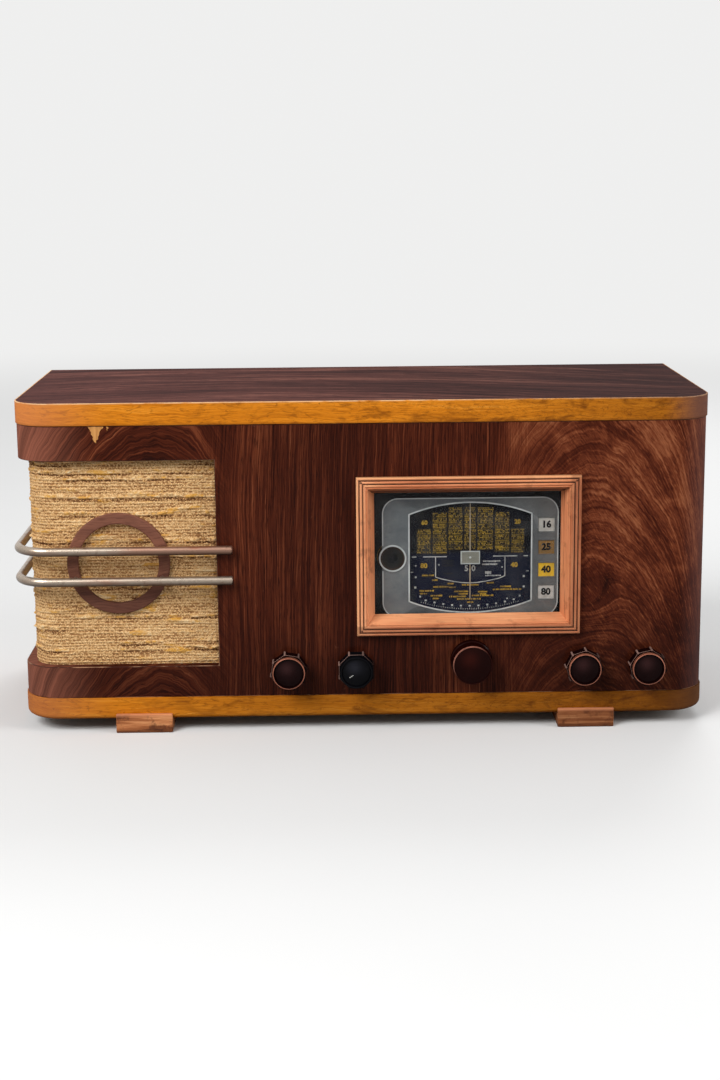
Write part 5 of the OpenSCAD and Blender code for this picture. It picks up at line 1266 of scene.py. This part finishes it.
class RADIO_OT_dial_face(bpy.types.Operator):
    """Light lines of the mask, printed scale marks and window numbers"""

    bl_idname = "radio.dial_face"
    bl_label = "Dial face"

    def execute(self, context):
        dial = context.scene.radio_dial
        self.mask_lines(dial)
        self.scale_print(dial)
        self.window_numbers(dial)
        self.hub(dial)
        return {"FINISHED"}

    def mask_lines(self, dial):
        """The light line round the mask, open at the eye, the one round the scale, and the eye's rim."""
        w, lift = dial.line_width, dial.print_height
        low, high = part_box("dial_mask")
        r, eye_r = 14 * MM, 11.8 * MM
        left, right, bottom, top = low.x + w / 2, high.x - w / 2, low.z + w / 2, high.z - w / 2
        corners = ((left + r, top - r, 180), (right - r, top - r, 90), (right - r, bottom + r, 0),
                   (left + r, bottom + r, -90))
        outline = [p for x, z, start in corners for p in arc_points(x, z, r, start, start - 90, 10)]
        outline = [p for p in outline if math.hypot(p[0] - EYE_X, p[1] - AXIS_Z) > eye_r]
        bm = bmesh.new()
        ribbon(bm, [(left, AXIS_Z + eye_r), *outline, (left, AXIS_Z - eye_r)], w, MASK_Y, lift)
        ribbon(bm, scale_edge(), w * 1.35, MASK_Y, lift * 1.5)
        rim = ((11.05, 0), (11.05, 0.9), (11.4, 1.1), (12.2, 1.0), (12.4, 0), (11.05, 0))
        lathe(bm, [(r * MM, forward * MM) for r, forward in rim], EYE_X, MASK_Y, AXIS_Z, 64)
        tidy(bm, PRINT_WELD)
        piece(bm, "mask_lines", "cabinet", ("mask_line",), even=False)

    def hub(self, dial):
        """The light edge and the rivet of the plate over the pointer's pivot."""
        low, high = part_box("hub_plate")
        edge = 0.5 * MM
        x0, x1, z0, z1 = low.x + edge, high.x - edge, low.z + edge, high.z - edge
        bm = bmesh.new()
        ribbon(bm, [(x0, z0), (x1, z0), (x1, z1), (x0, z1), (x0, z0)], 0.7 * MM, low.y, dial.print_height)
        lathe(bm, [(0, 0.5 * MM), (0.7 * MM, 0.4 * MM), (MM, 0), (0, 0)], AXIS_X, low.y, AXIS_Z, 24)
        tidy(bm, PRINT_WELD)
        piece(bm, "hub_edge_and_rivet", "cabinet", ("mask_line",), even=False)

    def window_numbers(self, dial):
        """One number on each of the four windows, from the top."""
        bm = bmesh.new()
        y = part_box("band_windows")[0].y - 0.02 * MM
        for i, text in enumerate(("16", "25", "40", "80")):
            z = AXIS_Z + (-1.6 + (1.5 - i) * 20.7) * MM
            take_in(bm, numeral(text, 8.4 * MM, AXIS_X + 68.5 * MM, z, y, dial.print_height, 0.4 * MM))
        tidy(bm, PRINT_WELD)
        piece(bm, "window_numbers", "cabinet", ("dark_ink",), even=False)

    def scale_print(self, dial):
        """The scale's printed marks, in millimetres from the pointer's axis."""
        rng = random.Random(dial.seed)
        lift = dial.print_height
        gold, wash, white = 0, 1, 2
        bm = bmesh.new()

        def mark(x0, z0, x1, z1, material, deep=2.0):
            middle = (AXIS_X + (x0 + x1) / 2 * MM, SCALE_Y - lift * deep / 2, AXIS_Z + (z0 + z1) / 2 * MM)
            cube(bm, Matrix.Translation(middle), ((x1 - x0) * MM, lift * deep, (z1 - z0) * MM), material)

        # Columns of golden dashes on a wash, with every fourth row dotted: left, right, foot, top
        for x0, x1, z0, z1 in ((-48.4, -34.8, 2.5, 25.4), (-34.1, -20.4, 2.0, 40.7), (-19.8, -6.3, 6.0, 45.4),
                               (-5.6, 5.6, 6.0, 45.6), (6.3, 21.4, 6.0, 45.2), (22.0, 36.1, 3.4, 40.7),
                               (36.8, 49.4, 2.8, 25.2)):
            mark(x0, z0, x1, z1, wash, 1.0)
            z, row = z1 - 0.6, 0
            while z - 1.0 > z0:
                dotted = row % 4 == 3
                x = x0 + 0.5 + rng.random() * 0.8
                while x < x1 - 0.9:
                    length = 0.32 if dotted else min(rng.uniform(0.35, 1.0), x1 - 0.4 - x)
                    if dotted or rng.random() < 0.74 and length > 0.3:
                        mark(x, z - (0.32 if dotted else rng.uniform(0.5, 0.95)), x + length, z, gold)
                    x += length + (0.62 if dotted else rng.uniform(0.28, 0.6))
                z -= 0.9 if dotted else 1.42
                row += 1
        # Single lines of golden dashes below: middle, height, width
        for middle, z, width in ((-38, -17.3, 10.5), (-31.5, -21.7, 5), (-17.5, -25.2, 5), (0.5, -26.5, 15),
                                 (-16, -28.6, 5), (18.5, -24.8, 6), (32.5, -28.3, 9), (33.5, -31, 25),
                                 (-39, -31.6, 13), (-42, -34.2, 6.5), (-30.5, -36.2, 10), (-31, -38.8, 5),
                                 (-8, -32.5, 12), (-6, -34.8, 8), (11.5, -33, 8), (11.8, -35, 5),
                                 (-11, -37.2, 15), (12, -36.5, 20), (-0.5, -39.6, 22), (0.8, -42.6, 6),
                                 (-26, -28, 14)):
            x = middle - width / 2
            while x < middle + width / 2:
                length = rng.uniform(0.5, 1.1)
                mark(x, z - 0.75, x + length, z + rng.uniform(0.45, 0.75), gold)
                x += length + rng.choice((0.28, 0.3, 0.34, 0.9))
        # White lines at the pointer's level, the box under it and the dots round it
        for x0, x1 in ((-42.1, -20.8), (21.0, 43.0), (-52.4, -48.4), (48.6, 52.6)):
            mark(x0, -0.6, x1, 0.2, white)
        for x in (-52.4, 52.4):
            mark(x - 1.2, -14.5, x + 1.2, -14.0, white)
        box_line = ((-31, 0), (-31, -19), (-26, -20.7), (-15, -23.2), (-7, -24.4), (0, -24.8), (7, -24.4),
                    (15, -23.2), (27, -20.6), (31.8, -18.4), (31.8, 0))
        box_line = [(AXIS_X + x * MM, AXIS_Z + z * MM) for x, z in box_line]
        ribbon(bm, box_line, 0.7 * MM, SCALE_Y, lift * 2, white)
        for x, z, size in ((-49, -8.3, 1.3), (-49, -19, 1.6), (-49.4, -28.5, 1.8), (-45, -37, 1.5),
                           (-28, -7.6, 1.2), (29.3, -10.4, 1.2), (49, -19, 1.8), (49, -28.7, 1.7),
                           (45.4, -37.2, 1.6), (0, -12.6, 1.1), (34, -39.6, 1.2)):
            mark(x - size / 2, z - size / 2, x + size / 2, z + size / 2, white)
        # Ticks along the lower edge, every fourth one long and with a dash over it
        for i in range(-22, 23):
            x = i * 2.0
            edge = SCALE_RADIUS - SCALE_APEX - math.sqrt(SCALE_RADIUS ** 2 - x * x)
            long = i % 4 == 0
            mark(x - 0.2, edge + 1.2, x + 0.2, edge + (3.0 if long else 2.2), white)
            if long:
                mark(x - 0.9, edge + 3.9, x + 0.9, edge + 5.3, white)
        # Rows of dashes in the box, white at the right: left, right, top, height
        for x, x1, z, tall in ((12, 27, -4.2, 1.6), (11, 25, -7.0, 1.6), (14, 19, -14.2, 3.0),
                               (14, 28, -17.6, 1.5), (-25, -15, -3.6, 1.2), (-25, -16, -5.8, 1.2),
                               (-25, -15, -8.0, 1.2), (-24, -15, -15.5, 1.2)):
            material = white if x > 0 else wash
            while x < x1:
                length = rng.uniform(0.5, 1.4)
                mark(x, z - tall * rng.uniform(0.6, 1.0), x + length, z, material, 1.0)
                x += length + rng.uniform(0.25, 0.5)
        for text, size, x, z, material in (("60", 5.4, -41.0, 31.2, gold), ("20", 5.4, 43.0, 31.2, gold),
                                           ("80", 6.2, -41.6, -8.5, gold), ("40", 6.2, 40.2, -8.5, gold),
                                           ("5", 7.2, -3.1, -11.4, white), ("0", 7.2, 3.3, -11.4, white)):
            number = numeral(text, size * MM, AXIS_X + x * MM, AXIS_Z + z * MM, SCALE_Y - lift,
                             lift * 2, 0.2 * MM)
            take_in(bm, number, material)
        tidy(bm, PRINT_WELD)
        piece(bm, "scale_markings", "cabinet", ("gold_ink", "gold_wash", "white_ink"),
              even=False)


def add_painted_highlights(bm, x, z, reach, front):
    """Marks a painted sheen in the upper left of a knob's face, and a painted highlight on the upper left of
    its edges.
    """
    for name in ("sheen", "wear_and_highlight"):
        bm.verts.layers.float.new(name)
    sheen, wear_and_highlight = (bm.verts.layers.float[name] for name in ("sheen", "wear_and_highlight"))
    for vert in bm.verts:
        across, up = vert.co.x - x, vert.co.z - z
        if math.hypot(across, up) < reach and vert.co.y < front:
            spot = math.hypot(across + 0.16 * reach, up - 0.36 * reach) / reach
            vert[sheen] = 0.44 * math.exp(-(spot / 0.46) ** 2)
        # Painted highlight on the edges, paler towards the upper left.
        vert[wear_and_highlight] = min(1.0, max(0.0, 0.25 + (0.75 * up - 0.66 * across) / reach * 0.6))


def small_knob(name, setting, colour, rim_finish):
    """Domed face in a rim ring, on an eight-sided body with a nub at each corner, turned to its setting."""
    x, _, z = middle_of(name.replace("_knob", "_spindle"))
    reach, rim_r, corner_r, core = 19.5 * MM, 14.6 * MM, 17.3 * MM, 13.6 * MM
    inner = rim_r - 1.7 * MM
    front, back = 14.5 * MM, 4 * MM
    bm = bmesh.new()
    # Rim ring with rounded edges
    ring = [(inner, reach - 2.6 * MM), (inner, reach - 0.7 * MM), (inner + 0.25 * MM, reach - 0.2 * MM),
            (inner + 0.8 * MM, reach), (rim_r - 0.7 * MM, reach), (rim_r - 0.2 * MM, reach - 0.25 * MM),
            (rim_r, reach - 0.8 * MM), (rim_r, reach - 3.9 * MM), (rim_r - 0.3 * MM, reach - 4 * MM),
            (core, reach - 4 * MM)]
    lathe(bm, ring[:4], x, FRONT, z, 72)
    lathe(bm, ring[3:], x, FRONT, z, 72, 1)
    # Dome, and the round core and hub behind the ring
    rise, drop = 1.6 * MM, 2.0 * MM
    dome = [(inner * i / 12, reach - drop + rise * (1 - (i / 12) ** 2)) for i in range(13)]
    lathe(bm, [*dome, ring[0]], x, FRONT, z, 72)
    lathe(bm, [(core, reach - 4 * MM), (core, front)], x, FRONT, z, 72)
    hub = [(11.3 * MM, back), (11.3 * MM, 1.4 * MM), (10.9 * MM, MM), (3.2 * MM, MM), (3.2 * MM, back)]
    lathe(bm, hub, x, FRONT, z, 48)
    tidy(bm)
    # Eight-sided body
    body = bmesh.new()
    turned = Matrix.Rotation(-math.radians(setting), 4, "Y") @ Matrix.Rotation(QUARTER, 4, "X")
    bmesh.ops.create_circle(body, cap_ends=True, radius=corner_r - 0.5 * MM, segments=8,
                            matrix=Matrix.Translation((x, FRONT - front, z)) @ turned)
    out = bmesh.ops.extrude_face_region(body, geom=body.faces[:])["geom"]
    bmesh.ops.translate(body, verts=only(out, BMVert), vec=(0, front - back, 0))
    tidy(body)
    face_edges = [e for e in sharp_edges(body, 60) if max(v.co.y for v in e.verts) < FRONT - front + MM / 10]
    soften(body, face_edges, 0.3 * MM, 2)
    narrow = [f for f in body.faces
              if f.calc_area() < 15 * MM * MM and f.calc_center_median().y < FRONT - front + 0.5 * MM]
    set_material(narrow, 2)
    long_edges = [e for e in sharp_edges(body, 30) if abs(e.verts[0].co.y - e.verts[1].co.y) > 5 * MM]
    soften(body, long_edges, 0.5 * MM, 2)
    nub_r = 0.9 * MM
    nub = [(0, front + 0.55 * MM), (nub_r * 0.6, front + 0.45 * MM), (nub_r, front), (nub_r, back + 0.2 * MM),
           (0, back + 0.1 * MM)]
    for i in range(8):
        a = math.radians(setting + 45 * i)
        out = corner_r - nub_r
        lathe(body, nub, x + out * math.cos(a), FRONT, z + out * math.sin(a), 12, 2)
    tidy(body, PRINT_WELD)
    join(bm, body)
    add_painted_highlights(bm, x, z, inner - 0.1 * MM, FRONT - reach + drop + MM)
    piece(bm, name + "_dressed", name.replace("_knob", "_control"), (colour, rim_finish, "nub_edge"),
          (name,), 40.0)


class RADIO_OT_knobs(bpy.types.Operator):
    """Four small knobs and the tuning knob"""

    bl_idname = "radio.knobs"
    bl_label = "Knobs"

    def execute(self, context):
        small_knob("volume_knob", 12.4, "brown_bakelite", "rim_copper")
        small_knob("tone_knob", 23.0, "black_bakelite", "black_bakelite")
        self.tone_mark()
        small_knob("band_knob", -4.0, "brown_bakelite", "rim_copper")
        small_knob("selectivity_knob", -10.0, "brown_bakelite", "rim_copper")
        x, _, z = middle_of("tuning_spindle")
        reach, face_r, skirt_r, step = 22 * MM, 17.7 * MM, 18.8 * MM, 7 * MM
        bm = bmesh.new()
        dome_r, dome_y, drop = face_r - 1.6 * MM, reach - 0.3 * MM, 0.7 * MM
        dome = [(dome_r * i / 12, dome_y - drop * (i / 12) ** 2) for i in range(13)]
        edge = [(face_r - MM, reach - 0.75 * MM), (face_r - 0.6 * MM, reach - 0.75 * MM),
                (face_r - 0.15 * MM, reach - 1.2 * MM), (face_r, reach - 1.9 * MM)]
        side = [edge[-1], (face_r + 0.1 * MM, step + 0.5 * MM), (skirt_r - 0.5 * MM, step),
                (skirt_r, step - 0.5 * MM), (skirt_r, 1.5 * MM), (skirt_r - 0.5 * MM, MM), (3.2 * MM, MM),
                (3.2 * MM, 6 * MM)]
        face = [*dome, (face_r - 1.3 * MM, reach - 1.2 * MM), edge[0]]
        for profile, material in ((face, 0), (edge, 1), (side, 0)):
            lathe(bm, profile, x, FRONT, z, 80, material)
        tidy(bm)
        add_painted_highlights(bm, x, z, face_r - 1.5 * MM, FRONT - reach + 3 * MM)
        piece(bm, "tuning_knob_dressed", "tuning_control", ("tuning_bakelite", "rim_highlight"),
              ("tuning_knob",), 40.0)
        return {"FINISHED"}

    def tone_mark(self):
        """White line in the face of the black knob, down to the left."""
        x, _, z = middle_of("tone_spindle")
        place = Matrix.Translation((x, FRONT - 18.78 * MM, z)) @ Matrix.Rotation(math.radians(144), 4, "Y")
        place = place @ Matrix.Translation((5.6 * MM, 0, 0)) @ Matrix.Rotation(math.radians(6), 4, "Z")
        bm = bmesh.new()
        cube(bm, place, (4.4 * MM, 0.16 * MM, 0.5 * MM))
        piece(bm, "tone_knob_mark", "tone_control", ("white_ink",), even=False)


class RADIO_OT_screws(bpy.types.Operator):
    """Slotted round heads in the rear cover"""

    bl_idname = "radio.screws"
    bl_label = "Cover screws"

    def execute(self, context):
        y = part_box("cover_screws")[1].y - 2 * MM
        inset = 6 * MM
        side, top = RIGHT - WALL - inset, CEILING - inset
        places = [(x, z) for x in (-side, side) for z in (FLOOR + 30 * MM, AXIS_Z, top)]
        places += [(-0.1, top), (0.1, top)]
        rng = random.Random(3)
        bm = bmesh.new()
        for x, z in places:
            head = self.head(4 * MM, 2 * MM, 0.45 * MM, 0.7 * MM)
            place = Matrix.Translation((x, y, z)) @ Matrix.Rotation(rng.uniform(0, math.pi), 4, "Y")
            bmesh.ops.transform(head, verts=head.verts, matrix=place)
            join(bm, head)
        piece(bm, "cover_screw_heads", "cabinet", ("spindle_steel",),
              ("cover_screws",), 40.0)
        return {"FINISHED"}

    def head(self, radius, tall, half_slot, deep):
        """A round head that looks to the back, with a slot pushed into it."""
        head = bmesh.new()
        angles = [math.pi / 16 * i for i in range(9)]
        lathe(head, [*((radius * math.sin(a), -tall * math.cos(a)) for a in angles), (0, 0)], 0, 0, 0, 24)
        tidy(head)
        for level in (-half_slot, half_slot):
            cut(head, (0, 0, level), (0, 0, 1))
        slot = []
        for face in head.faces:
            c = face.calc_center_median()
            if abs(c.z) < half_slot and c.y > 0.8 * MM:
                slot.append(face)
        out = bmesh.ops.extrude_face_region(head, geom=slot)["geom"]
        bmesh.ops.delete(head, geom=slot, context="FACES")
        bmesh.ops.translate(head, verts=only(out, BMVert), vec=(0, -deep, 0))
        tidy(head)
        return head


class RADIO_OT_dress_frame(bpy.types.Operator):
    """Gives every part of the frame its finish, also those that a piece replaces"""

    bl_idname = "radio.dress_frame"
    bl_label = "Frame finishes"

    def execute(self, context):
        finishes = {
            "board_ply": ("bottom_board", "rear_battens", "baffle_board"),
            "worn_nickel": ("bar_posts", "upper_bar", "lower_bar"),
            "speaker_paint": ("speaker_frame",),
            "cone_paper": ("speaker_surround", "speaker_cone"),
            "magnet_paint": ("speaker_magnet",),
            "transformer": ("output_transformer", "power_transformer"),
            "dial_glass": ("dial_glass",),
            "mask_enamel": ("dial_mask",),
            "hub_enamel": ("hub_plate",),
            "window_tints": ("band_windows",),
            "scale_enamel": ("scale_plate",),
            "dial_backing_shade": ("dial_support",),
            "plated_steel": ("capacitor_frame",),
            "eye_glass": ("magic_eye",),
            "dull_brass": ("eye_clamp", "lamp_holders", "spindle_bush"),
            "lamp_glass": ("lamp_bulbs",),
            "cord": ("drive_cord",),
            "aluminium": ("drive_drum", "capacitor_rotor", "capacitor_stators", "if_cans", "filter_cans"),
            "pointer_paint": ("pointer",),
            "spindle_steel": ("tuning_spindle", "volume_spindle", "tone_spindle", "band_spindle",
                              "selectivity_spindle", "chassis_bolts", "cover_screws"),
            "control_cans": ("potentiometers",),
            "phenolic": ("band_switch", "rear_sockets"),
            "chassis_zinc": ("chassis",),
            "rubber": ("mains_grommet",),
            "black_bakelite": ("valve_sockets", "valve_bases", "tone_knob"),
            "valve_glass": ("valve_bulbs",),
            "hardboard": ("rear_cover",),
            "front_rosewood": ("front_panel",),
            "top_rosewood": ("top_board",),
            "top_maple": ("top_band",),
            "low_maple": ("bottom_band",),
            "copper_foot": ("feet",),
            "grille_weave": ("grille_cloth",),
            "ring_wood": ("grille_ring",),
            "copper_frame": ("dial_frame",),
            "brown_bakelite": ("volume_knob", "band_knob", "selectivity_knob"),
            "tuning_bakelite": ("tuning_knob",),
        }
        for name, nodes in finishes.items():
            for node in nodes:
                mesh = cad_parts[node].data
                mesh.materials.clear()
                mesh.materials.append(finish(name))
        return {"FINISHED"}


class RADIO_OT_studio(bpy.types.Operator):
    """Pale floor, soft lamps and the camera"""

    bl_idname = "radio.studio"
    bl_label = "Studio"

    def execute(self, context):
        studio = context.scene.radio_studio
        context.scene.view_settings.view_transform = "Standard"
        self.camera()
        self.floor(studio)
        self.lamp("key_light", (-1.5, -1.7, 1.9), (0.0, 0.0, 0.12), 1.6, studio.key_power)
        self.lamp("side_light", (2.0, -0.9, 1.1), (0.1, 0.0, 0.15), 1.2, studio.key_power * 0.35)
        self.lamp("rear_light", (0.6, 1.9, 1.8), (0.0, 0.1, 0.2), 1.4, studio.key_power * 0.4)
        self.air(studio)
        return {"FINISHED"}

    def air(self, studio):
        """Even light on the radio, and the pale backdrop where the camera, a mirror or a glass sees it."""
        world = bpy.data.worlds.new("studio_air")
        bpy.context.scene.world = world
        world.use_nodes = True
        tree = world.node_tree
        tree.nodes.clear()
        output = tree.nodes.new("ShaderNodeOutputWorld")
        lit, seen = (tree.nodes.new("ShaderNodeBackground") for _ in range(2))
        choose = tree.nodes.new("ShaderNodeMixShader")
        lit.inputs["Color"].default_value = (0.98, 0.99, 1.0, 1.0)
        lit.inputs["Strength"].default_value = studio.sky
        seen.inputs["Color"].default_value = BACKDROP
        seen.inputs["Strength"].default_value = BACKDROP_STRENGTH
        path = tree.nodes.new("ShaderNodeLightPath").outputs
        share = path["Is Camera Ray"]
        for kind in ("Is Glossy Ray", "Is Transmission Ray"):
            both = tree.nodes.new("ShaderNodeMath")
            both.operation = "MAXIMUM"
            tree.links.new(share, both.inputs[0])
            tree.links.new(path[kind], both.inputs[1])
            share = both.outputs[0]
        for i, socket in enumerate((share, lit.outputs[0], seen.outputs[0])):
            tree.links.new(socket, choose.inputs[i])
        tree.links.new(choose.outputs[0], output.inputs["Surface"])

    def camera(self):
        """The camera that the photo was taken with, as fitted to it."""
        yaw, pitch, roll = CAMERA_TURNS
        ahead = Vector((math.sin(yaw) * math.cos(pitch), math.cos(yaw) * math.cos(pitch), -math.sin(pitch)))
        right = Vector((math.cos(yaw), -math.sin(yaw), 0))
        up = right.cross(ahead)
        across = math.cos(roll) * right + math.sin(roll) * up
        above = -math.sin(roll) * right + math.cos(roll) * up
        data = bpy.data.cameras.new("photo_camera")
        data.lens, data.sensor_width, data.sensor_fit = CAMERA_LENS, 36.0, "AUTO"
        data.clip_start, data.clip_end = 0.05, 100.0
        camera = add_object("photo_camera", data)
        turned = Matrix((across, above, -ahead)).transposed().to_4x4()
        camera.matrix_world = Matrix.Translation(CAMERA_PLACE) @ turned
        bpy.context.scene.camera = camera

    def floor(self, studio):
        """Wide pale paper, which sends less light back to the radio than the camera sees on it."""
        bm = bmesh.new()
        bmesh.ops.create_grid(bm, x_segments=1, y_segments=1, size=14.0)
        mesh = bpy.data.meshes.new("studio_floor")
        bm.to_mesh(mesh)
        bm.free()
        floor = add_object("studio_floor", mesh)
        f = Finish("studio_floor_paper")
        radius = f.length(f.place)
        grey = f.between(f.clouds(3), 0.0, 0.05)
        path = f.node("LightPath").outputs
        seen = f.higher(path["Is Camera Ray"], f.higher(path["Is Glossy Ray"], path["Is Transmission Ray"]))
        paper = f.mix(grey, (*studio.floor_colour, 1.0), (0.6, 0.6, 0.6, 1.0))
        bounce = (*(studio.floor_bounce,) * 3, 1.0)
        f.done(f.mix(seen, bounce, paper), 0.85, Specular_IOR_Level=0.1)
        # Far out, the floor runs into the backdrop
        glow = f.node("Emission", {"Color": BACKDROP, "Strength": BACKDROP_STRENGTH})
        share = f.range(radius, 1.0, 3.4, smooth=True) * seen
        both = f.node("MixShader", {0: share, 1: f.shader.outputs[0], 2: glow.outputs[0]})
        f.tree.links.new(both.outputs[0], f.output.inputs["Surface"])
        mesh.materials.append(f.material)

    def lamp(self, name, place, aim, size, power):
        """A round lamp that looks at a point."""
        data = bpy.data.lights.new(name, "AREA")
        data.shape, data.size, data.energy = "DISK", size, power
        lamp = add_object(name, data)
        lamp.location = place
        lamp.rotation_euler = (Vector(aim) - Vector(place)).to_track_quat("-Z", "Y").to_euler()


GROUPS = {
    "radio_woodwork": RADIO_PG_woodwork,
    "radio_grille": RADIO_PG_grille,
    "radio_dial": RADIO_PG_dial,
    "radio_studio": RADIO_PG_studio,
}
STEPS = (
    RADIO_OT_studio, RADIO_OT_veneered_wall, RADIO_OT_top, RADIO_OT_bottom, RADIO_OT_grille_cloth,
    RADIO_OT_grille_trim, RADIO_OT_dial_frame, RADIO_OT_dial_face, RADIO_OT_knobs, RADIO_OT_screws,
    RADIO_OT_dress_frame,
)


class RADIO_PT_panel(bpy.types.Panel):
    """Sidebar panel with the sizes and the steps"""

    bl_idname = "RADIO_PT_panel"
    bl_label = "Table radio"
    bl_space_type = "VIEW_3D"
    bl_region_type = "UI"
    bl_category = "Radio"

    def draw(self, context):
        for name, group in GROUPS.items():
            box = self.layout.box()
            for key in group.__annotations__:
                box.prop(getattr(context.scene, name), key)
        for step in STEPS:
            self.layout.operator(step.bl_idname)


def register():
    for one in (*GROUPS.values(), *STEPS, RADIO_PT_panel):
        bpy.utils.register_class(one)
    for name, group in GROUPS.items():
        setattr(bpy.types.Scene, name, PointerProperty(type=group))


def unregister():
    for name in GROUPS:
        delattr(bpy.types.Scene, name)
    for one in reversed((*GROUPS.values(), *STEPS, RADIO_PT_panel)):
        bpy.utils.unregister_class(one)


def main():
    register()
    for step in STEPS:
        group, call = step.bl_idname.split(".")
        getattr(getattr(bpy.ops, group), call)()


if __name__ == "__main__":
    main()
